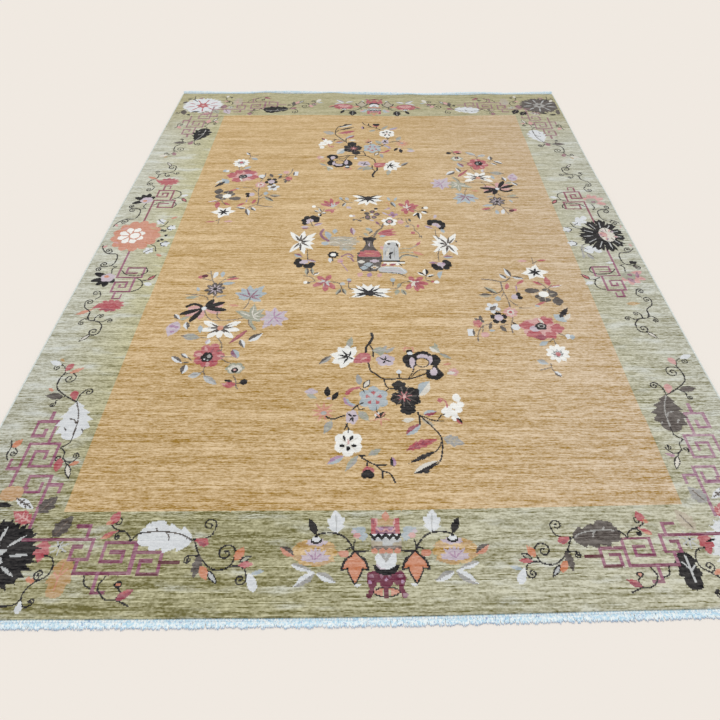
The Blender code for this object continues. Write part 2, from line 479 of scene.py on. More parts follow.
# the spray in the field's left half: dark and pale stars, lilac leaves, a rose blossom
sprayWest = """
stem bark .5 -76.5 -25 -75.5 -28 -74.5 -31.5 -72.5 -35
stem bark .4 -79.5 -30.5 -77 -31.3 -74.6 -32
stem bark .4 -78 -26.3 -76.2 -27
stem bark .4 -71.2 -35 -70 -33 -68.5 -31
disc rose -80.5 -29.4 1.2
disc wine -78.6 -28.7 1.6 1.2
blade white -74.2 -30.4 -73.2 -25.7 2.4 petal
blade sky -70.2 -29.8 -70.4 -25.4 2.2 petal
blade umber -67.8 -29.9 -62.5 -29.2 .9
blade rose -67.8 -31.6 -61.5 -30.2 1.7
blade sky -69.5 -34.6 -63 -33.8 2.2
bloom umber petal -72 -38.3 5 8 2.3 12
bloom lilac spear -72 -38.3 4 8 .6 12
disc black -72 -38.2 1.1
blade sky -79.3 -39.8 -80.8 -36.6 1.6
blade sage -84.5 -44.5 -78.5 -43.4 2.2
stem bark .4 -84.8 -42 -79 -42.3 -75 -43.8 -73.8 -46
stem bark .4 -71.6 -42 -71.6 -46
blade grey -71 -43.9 -66 -42.7 1.3
star blush petal 3.4 -74.6 -51.6 -70.8 -46.5 -66 -49 -66.5 -54.5 -82 -51.4 -82 -56.3 -75.5 -58.6
star black petal 2.7 -74.6 -51.4 -71 -45.5 -65.6 -47.3 -64 -52.8 -84.8 -55.5 -79.4 -60.4
stem black 1.5 -82.6 -50.2 -80 -48.7 -77 -49.4 -75.5 -51
disc white -74.4 -51.6 1.2
blade coral -63.6 -49.3 -58.6 -50 1.4
split white umber -87.2 -55.2 -83.8 -58.8 2.2
blade sage -84 -58.9 -79.8 -57 2
split umber white -80.6 -60.3 -79.3 -65 2.8
blade lilac -84.6 -59.8 -86.6 -69.2 6
disc mauve -86.4 -62.8 1.3 .9
disc mauve -84.2 -63.6 .9
disc mauve -85.6 -66.3 1 .7
stem bark .45 -74 -53 -72 -57 -69 -59.3 -62 -59.3 -57 -58.4 -53 -57
stem bark .45 -67.9 -54.3 -67.6 -57 -66 -59
star snow petal 2.8 -64.6 -64.4 -73 -59.8 -56.4 -60.2 -73.5 -65.6 -56.2 -65.6 -69.6 -70.2 -58.4 -70.4
-64.5 -70.4
star umber spear 1.1 -64.7 -64.3 -70.2 -61 -59.8 -61.8 -71 -64 -58.6 -63.8 -70 -68 -59.8 -67.6 -66.6 -67.2
-62.4 -67.2
disc coral -64.8 -64.2 1.4
blade sky -74 -62.4 -73 -67.2 2.2
veined grey sage -80.4 -68.8 -72.4 -70.2 4 0 0 2
stem bark .4 -81 -68.8 -78.5 -69.2
stem bark .4 -72.4 -69.8 -70 -70.2
split lilac white -69.2 -74 -68.2 -70.8 2.2
blade sky -54.6 -43.6 -62.2 -41 4.4 leaf 0 3
blade sky -54.6 -43.6 -59.8 -37.8 4.4 leaf 0 3
blade sky -54.6 -43.6 -56 -35.8 4.4 leaf 0 3
blade sky -54.6 -43.6 -49 -36 4.4 leaf 0 3
blade sky -54.6 -43.6 -47 -41.2 4.4 leaf 0 3
blade sky -54.6 -43.6 -49.2 -47 4.4 leaf 0 3
blade sky -54.6 -43.6 -60 -45 4.4 leaf 0 3
star plum spear .9 -54.6 -44 -57.2 -37.6 -51.2 -38.2 -61 -41.6 -49.4 -42.2 -49.6 -45.8
stem bark .4 -54.6 -44.5 -55 -48.5 -56.4 -52
blade lilac -42 -57.8 -42.3 -51 3.8 leaf 0 3
blade lilac -42 -57.8 -46.4 -53.2 3.8 leaf 0 3
blade lilac -42 -57.8 -48.4 -59 3.8 leaf 0 3
blade lilac -42 -57.8 -46.6 -64.8 3.8 leaf 0 3
blade lilac -42 -57.8 -41.4 -63.4 3.8 leaf 0 3
blade lilac -42 -57.8 -38 -63 3.8 leaf 0 3
blade lilac -42 -57.8 -35.2 -58.8 3.8 leaf 0 3
blade lilac -42 -57.8 -36.4 -53.4 3.8 leaf 0 3
star silver spear .6 -42 -57.8 -44.6 -53.6 -47 -60.8 -43.6 -62.8 -38.6 -61.2 -37 -55.8 -40.6 -53
star mauve spear .7 -42 -57.6 -42.4 -51.8 -37.8 -53.6 -37 -59 -38.6 -62 -44.8 -62.4
star sage spear 3.4 -52 -57 -60.4 -53 -52 -48.4 -46.8 -51.8 -45.6 -56.4 -47.6 -60.4 -56.6 -57.4
star cream spear .7 -52 -57 -58.5 -54 -52 -50.4 -48 -53 -47.6 -56.8 -48.8 -59.4
stem sage 1.3 -52.2 -57 -52 -61 -49.6 -65
stem bark .4 -53.2 -59 -52.6 -62 -50.4 -65
blade deepRose -60 -74.2 -52.8 -65.6 2 petal
blade rose -58 -71.2 -53.4 -66.2 .9
split umber white -51.6 -72.2 -45.8 -67.6 3.6
split white umber -55 -71.2 -52.6 -76.2 2.6
blade rose -66.6 -80.6 -64.6 -73.6 5.2 petal 0 3
blade rose -66.6 -80.6 -69.6 -74.6 5.2 petal 0 3
blade rose -66.6 -80.6 -73.4 -79 5.2 petal 0 3
blade rose -66.6 -80.6 -72 -84.4 5.2 petal 0 3
blade rose -66.6 -80.6 -67.6 -87 5.2 petal 0 3
blade rose -66.6 -80.6 -63.4 -86.4 5.2 petal 0 3
blade rose -66.6 -80.6 -60 -80.8 5.2 petal 0 3
blade rose -66.6 -80.6 -62 -77.4 5.2 petal 0 3
star deepRose spear 1 -66.6 -80.6 -65.2 -75.2 -71.4 -83.2 -63.6 -85
blade blush -69 -80 -73 -79.6 1.6
blade blush -66.6 -84 -66.2 -86.8 1.8
blade blush -68 -77.8 -69.4 -75.2 1.2
blade blush -63.4 -80.8 -60.6 -80.6 1.2
scallop black -67.4 -81.4 2.6 2.9 6 .15
disc grey -66.6 -80.8 .8 1
dots white .35 -68.2 -82.6 -66.8 -83
stem bark .5 -64.6 -70.6 -62.6 -73.8 -61.9 -77.6
stem bark .4 -63.6 -78 -62 -77.4
stem bark .45 -61.4 -81 -58.5 -81.3 -56.4 -80.8
split sky plum -57.4 -77 -54.2 -82.4 3.4
stem bark .4 -61 -82.4 -58.6 -84.2 -57 -84.6
scallop sage -54.6 -87.6 4 3.2 6 .25
scallop cream -54.6 -87.8 3 2.2 6 .25
disc black -54.6 -88.6 1.4
disc blush -54.6 -88.4 .6
scallop rose -55.6 -96.2 2.8 1.6 4 .2
blade black -58 -93.8 -54.4 -94.6 1.4
blade blush -59 -95.6 -56 -96 1
stem bark .5 -54.6 -91.6 -53.4 -94 -52.8 -97 -52 -98.2
disc ink -50 -94.8 1.5
stem ink .4 -52.6 -95.6 -51 -95.2
stem bark .4 -73 -83.4 -75.6 -81.2
split white umber -78.6 -79.2 -75.2 -82 1.8
split umber white -82.2 -80.8 -77 -84.6 2.6
stem umber .4 -77 -84.4 -74.4 -84.2
split white umber -75.4 -85.4 -75.6 -90.6 3.2
stem bark .4 -67.2 -86.6 -67.6 -89.4 -69.4 -90
stem bark .4 -67.4 -89 -66.2 -91.4
blade silver -73 -91.8 -67.8 -90.4 3
blade grey -72.4 -91.2 -69 -90.6 1.2
split grey silver -66.8 -91.6 -60.4 -96.2 3
"""

# the spray in its right half: snowy stars over a string of small blossoms
sprayEast = """
stem bark .4 82.3 -15 82.4 -18 82 -20
stem bark .4 84.2 -17.8 82.2 -19.6
blade blush 74.6 -17.4 80 -17.4 1.8
blade rose 84.4 -17.4 89.6 -16.8 1.3
star snow spear 3.8 81.4 -26.2 83.2 -20.2 88.6 -26.4 74.6 -27.4 77.8 -31.8 85.4 -31.2 77.6 -22.8
disc snow 81.4 -26.2 2.6
bloom black spear 81.4 -26.4 3.6 6 1.2 15
blade rose 83.2 -36 78.6 -33 1.7
blade rose 86.2 -36.8 85.8 -29.8 3
split rose white 86.4 -37.6 92.4 -36.4 1.5
stem bark .4 81.5 -33.6 83.8 -36.6 84.6 -39
stem bark .4 87.4 -36.2 85.4 -38.4 83 -41
scallop umber 77.2 -40 3.6 1.9 3 .15
disc umber 80 -44.4 2.2 1.7
scallop umber 82 -46.6 3 1.8 3 .2
scallop umber 86.6 -42.4 2.4 2.6 3 .2
scallop umber 87.8 -47.6 2.6 3 4 .2
disc umber 84 -39.6 2 1
bloom cloud spear 82.6 -43 5.4 7 .6 8
disc snow 82.3 -42.6 2.4 2.1
blade rose 77 -50.2 82.4 -47.7 1.3
blade sky 76.4 -50.4 79 -51 1.2
split white umber 69.2 -29.6 67 -22.8 2.8
split white umber 66.8 -31 63.8 -27.2 2.4
split umber white 69.6 -29.7 75.4 -31.2 2.2
stem bark .7 55 -31.1 60 -31.9 63.5 -33.2 66 -32.8 68.6 -30.4
blade rose 75 -32 70.8 -35.6 1.8
blade rose 65.4 -39 66.8 -34.2 2
stem mauve .5 70.4 -36.4 70.2 -40.6
stem bark .5 63.5 -33.2 63.7 -40 64.8 -46 65 -52 65 -58 63.4 -63 63.2 -67.6
split umber sage 60.6 -41.6 55 -36.8 2.6
split cloud umber 58 -43 51.4 -42.6 2.8
stem bark .4 63.6 -38.8 61.6 -41 58.4 -42.6
blade sky 60.2 -47 60.6 -43.2 2.8
stem bark .4 63.8 -41 62.2 -44.2
disc lilac 68.4 -44.2 1.8 1.7
disc black 70.4 -42.4 1.1 1.3
disc black 70.8 -44.8 1.3 1.3
stem bark .4 65.6 -46.6 67 -48.6 68.6 -50
stem bark .4 69 -51.8 74.6 -52
bloom white petal 57 -51.6 3.8 5 2.4 50
split umber bark 55.6 -53.2 58.6 -50.4 2.6
scallop blush 64.6 -54.6 3.4 3.4 8 .3
scallop cream 64.6 -54.6 1.9 1.9 8 .3
disc rose 64.6 -54.6 .9
stem bark .4 58.4 -53.6 60.6 -53.8
bloom black drop 58.7 -58.2 4 5 3 90
disc lilac 58.7 -58 2
star umber leaf 1.8 50.2 -59.8 50.6 -56.2 47.4 -58.4 52 -60.8
scallop rose 48.6 -61.6 2.2 2.4 5 .3
blade coral 47.4 -62 49 -64.6 1.4
stem bark .5 55 -61 53.6 -62.2 51 -63 49.2 -65.4 47.8 -69 47.4 -72.8
stem bark .4 50.8 -63.2 50.2 -67
panel white 43.6 -65 46 -65 46 -69.4 43.6 -69.4
blade umber 46.2 -69.4 46.2 -64.8 1
disc blush 51 -68.6 1.9 1.6
blade umber 53.4 -65.2 54.8 -61.6 1.6
blade sky 53 -66.2 56 -66 1.2
blade umber 60.6 -67 58.4 -63 2.2
stem bark .4 59 -63.2 62 -62.6
disc white 65.2 -64.2 1.9
blade ink 64 -61.2 66.2 -62.6 1
scallop blush 76 -65 8.8 6.6 9 .18 10
scallop rose 70.2 -63.2 3.4 2.6 4 .3
scallop rose 79.2 -60.4 3.6 2.8 5 .3 30
scallop rose 83.2 -65.4 3.2 3.2 5 .3
scallop rose 72.4 -68.6 3.6 2.6 4 .3 20
scallop deepRose 75.2 -70.8 2.8 1.8 4 .3
scallop rose 79.6 -69.6 2.8 2.4 4 .3 40
disc lilac 73.4 -65.4 2.4 1.8
blade cream 78 -62.4 76 -58.6 1.4
blade blush 79.4 -64.4 82.4 -62.6 1
scallop ink 76.4 -64 2.7 2.4 5 .2 20
ring grey .4 76.6 -63.8 1.3 1
blade sky 83.6 -56.4 88.6 -61.6 4.2
blade cream 88 -60.2 91.4 -56 2.2
bloom ink spear 88.4 -55.6 2.2 3 1.2 50
blade ink 86 -58.6 91.4 -52 2.8 leaf 0 5
blade white 86.4 -72.2 87.4 -69 2.6 petal
blade sky 88.2 -72.6 88.8 -69.4 2.2 petal
stem bark .45 80 -71.6 80.4 -75
stem bark .45 79.8 -72 77.8 -73.6
stem bark .4 83 -68.4 85.4 -70
blade sky 73.2 -75.6 77.6 -73.2 2.4
bloom snow petal 80 -80.2 5.2 10 2.3 9
disc snow 80 -80.2 3.2
scallop umber 80 -80.6 2.4 2 8 .3
bloom silver spear 80 -80.4 3.4 8 .7 0
disc rose 80 -80.8 1.2
split grey sky 70.4 -84 74.8 -86.4 2.8
stem bark .4 70.6 -89.4 73 -88.8 75.6 -88
stem bark .5 75.7 -86 75.6 -89 76.6 -91
split white umber 76 -90.4 78.8 -93.4 2.2
"""

# the large spray of branches near the end
sprayNear = """
blade sage -8.4 -76.2 -7 -69.4 2.8
blade grey -8.6 -76 -7.6 -72 1.2
star snow leaf 4.4 -8.6 -81.4 -16 -79.8 -13 -75.4 -9 -74.4 -5.2 -75.2 -11.4 -87.6 -15.2 -84.6 -6.6 -84.4
disc snow -9.8 -80.8 2.6
star black spear .9 -8.2 -81.2 -13.4 -79.8 -11.4 -77 -7 -77.2 -10.4 -85.2 -12.8 -82.4 -6 -82.6
split grey umber -15.4 -80.8 -20.4 -85.4 2.6
stem ink 1.3 1.5 -67.4 2 -69.4 1.4 -71.4 .5 -73.5
stem ink 1 .5 -73.5 -.8 -75.5 -1 -78.5
stem ink .6 .4 -74 1.8 -76.5 2.2 -79.4 2.2 -81
blade rose .8 -79.4 -6.4 -84.4 5.4
blade deepRose .6 -83.6 -6 -84.4 1
panel rose -1.6 -78.6 1.2 -80.4 .8 -84.2 -5 -84.6
blade blush -.2 -81 -3.4 -83.2 1
veined sage grey 1.8 -77.4 8.6 -77.6 4 0 0 1
blade grey 7.4 -79 11.4 -75.4 1.8
blade grey 6.6 -77 8 -74.4 1.4
blade sage 4 -78.8 7.4 -81 1.8
scallop lilac 7.2 -83 4.2 3.4 5 .24 20
star ink spear .8 7.2 -83 4 -81.2 9.8 -83.8 7.4 -80.6 6 -85
disc black 17.6 -82.8 3.4 3.4
disc black 17.6 -85.2 2.4 2.2
scallop black 22.8 -80.6 3.8 2.7 5 .12 0
scallop black 27.4 -83.2 2.8 3.4 5 .12 0
scallop black 27 -90.8 3.8 3.1 5 .12
blade black 27.2 -93 27.6 -86 3 strap
blade lilac 18.4 -88 18.2 -81.4 2.6 petal
disc lilac 22.8 -81.2 2.4 1.5
blade lilac 25.2 -86 26 -80.6 2.4 petal
blade lilac 27.4 -87 26.2 -91.6 3 petal
scallop gold 22.4 -84.4 2.7 2.5 6 .12
ring ink .45 22.4 -84.4 2.8 2.5
disc black 17.4 -78.2 1.5 1.2
disc white 17.6 -79.2 1.2 .9
blade coral 14 -76.4 20 -75.6 .8
blade coral 15 -78.4 16 -74.8 .9
blade coral 19 -78.6 19 -75 .9
split sage cream 26.2 -75.4 30.4 -78.8 3.4
blade sage 29.4 -76 28.2 -73.2 1.4
split grey sage 30 -79.4 35 -82.6 1.8
blade coral 31 -85.8 34.6 -85 1.2
scallop blush 34.8 -89.8 2.2 2.2 5 .3
blade cream 32 -90.4 35.8 -90.2 1.8
stem ink .7 .1 -84.5 .9 -88.5 3 -90.5 6.2 -93 12.5 -93 16.5 -93.1 20 -92 23.6 -90.4
stem ink .5 16.4 -92.6 18.2 -89.4 19 -86
stem ink .5 17.6 -92 19.6 -89.4 21.6 -88.4 25 -88.7
stem ink .5 12.6 -93 12.5 -90.4
disc white 12.5 -89.4 1.1
stem ink .6 6.2 -93 7 -96.5 8.3 -98 11 -98.5
stem ink .5 8.4 -98 6.8 -99.4
split sky cream 19.6 -102 24.8 -94.2 4.8
blade sky 19.8 -97 24 -95.4 2.2
scallop black 12.2 -96.6 2.9 2.6 5 .2 90
scallop black 17.2 -100.2 3.2 2.8 5 .2 30
scallop black 17.4 -104 3.2 2.6 5 .2 -30
scallop black 11.4 -103 2.8 3.2 5 .2 200
scallop black 15.2 -108.2 3.2 3 6 .2 -90
disc black 14.2 -102 2.8 5
bloom umber spear 14 -102.2 6.4 11 .5 4 1
bloom rose spear 14 -102.2 3.4 7 .5 12
disc blush 14 -102.2 .6 1
bloom sky petal 2 -103 6.2 6 4.4 30
bloom silver spear 2 -103 5.6 6 .6 0
bloom rose drop 2 -102.8 3.4 5 1.6 90 1.3
blade grey -3.4 -96.2 -4.4 -90.4 2.6
edged cream ink -2 -98 .6 -93.4 2.6
stem ink .5 -4 -97.4 -2 -99 -1.6 -100.2
stem rose 1.2 -8.6 -100.6 -7 -98.6 -3.8 -97.6
stem rose .8 -8.4 -101.2 -6.2 -98.6
stem mauve 1 -9.4 -103 -8.8 -105.2 -6.2 -106.8
stem sky 1 -8.4 -103.6 -7.4 -105.4 -5.6 -106.2
blade black -16 -102.4 -16.4 -97 2.6
blade black -14.2 -104 -11.8 -99.6 2.2
disc lilac -15.4 -103 .9 .6
scallop lilac -22.6 -99.8 2.6 1.6 4 .3
blade sage -24.4 -101 -20 -103.4 2
bloom coral spear -17.4 -109.6 5.2 9 1.1 8
disc grey -17.2 -110.2 1.2 .9
stem ink .7 -16.2 -111.6 -15 -112.6 -13 -112.8 -10.8 -111.9 -9.2 -111.4
veined grey sage -14 -113.6 -16.6 -119.6 3 0 0 2
stem ink .6 -2.2 -105.2 -4.4 -106.6 -6.2 -108.6 -6.4 -110.6
stem ink .5 -4.6 -106.4 -3.4 -108.4 -1.8 -108
scallop lilac -6.4 -112 2.6 3.4 5 .24
star ink spear .8 -6.2 -111.8 -8.4 -110 -4.4 -110.8 -6 -114.8 -7.4 -114
veined sage grey -3.8 -109.2 .2 -113.8 3.2 0 0 1
stem ink .5 3 -107.4 3.2 -109.4 4 -110.2
disc white 3.8 -111 1.6 1.2
blade black 2.4 -112.8 6.4 -110 2.2 petal
bloom coral spear 4.6 -112.4 4.2 5 .7 200
stem ink .5 -8 -114.8 -9 -117.6
stem ink .5 -8.4 -115.6 -7 -118.4
scallop snow -7.6 -123.6 5.4 5.8 6 .22 90
star cream spear .6 -7.6 -123.8 -3.8 -121 -4 -127.4 -11.2 -127.2 -11.4 -121
blade black -8.6 -122.8 -9.4 -120.4 1.2 petal
blade black -7 -122.8 -6 -120.4 1.2 petal
disc black -9.8 -124.8 1 .7
disc black -5.4 -124.8 1 .7
disc black -7.6 -126 .8 1
blade blush -7.6 -124.4 -7.6 -121.6 .8
stem ink .4 -7.8 -116.6 -7.6 -119
split sky mauve -9 -129 -15.2 -132.6 2.8
split grey sage -4 -128.8 -8.6 -135.4 2.4
stem ink .6 -3.6 -128.8 -1.2 -130.8 2.4 -132.8 6 -132.8
stem ink .5 -3.6 -128.8 -1.4 -129
stem ink .6 2.4 -132.8 4.8 -135.2 7.4 -136.4 9 -139.8
stem ink .5 4.6 -135.2 4.6 -138
stem ink .5 -.6 -131.2 -.8 -133.6
veined sage grey 0 -128.8 4.4 -126.2 2.6 0 0 1
blade rose 0 -137 -.8 -133.2 4.6
disc black -1.6 -136.8 1.4 1.4
disc black .4 -136.8 1.4 1.4
disc black -.6 -135.8 1.6 1.2
split ink mauve 8.8 -133.6 8.2 -129.4 2.4
dots snow 1.5 34.5 -103.5 35.5 -106.5 33 -107 30.5 -108.5 30 -111 32.5 -110.5 33 -112.8 34.6 -109 29.4
-109.6 34.4 -102.6
stem ink .5 20 -111.5 24.5 -113.8 28.5 -114.2
stem ink .5 26 -114 27.6 -111.6 29 -111
split black rose 33.2 -112.8 35.4 -115.8 2
tendril rose .6 1.1 1 30.4 -107.6 30 -105 28.8 -103.6
split sky deepRose 20.8 -110.8 26.4 -109.6 2.8
split deepRose sky 13.8 -120.2 19.8 -115.2 3.4
blade cream 12.8 -113.8 17.6 -113 2.2
blade cloud 20 -113 25 -116.6 1.8
stem ink .65 18.9 -110 19.4 -113.4 19.2 -115.4
stem ink .6 19.6 -111.4 24 -117 26.4 -120.6 26.9 -124.8 25.6 -131 23.6 -133.4
stem ink .5 26.6 -123.6 25 -126.6 23.2 -128
veined grey cloud 27.4 -121.6 35 -124.6 5 0 3 2
veined rose deepRose 13.8 -126.8 25.4 -122.4 3.8 .04 5 2
blade ink 24 -127.4 14 -132.4 2 leaf 0 6
split cream ink 15.6 -136.4 25 -131.2 3.2
blade ink 19 -136 21.6 -135.4 1.4
"""

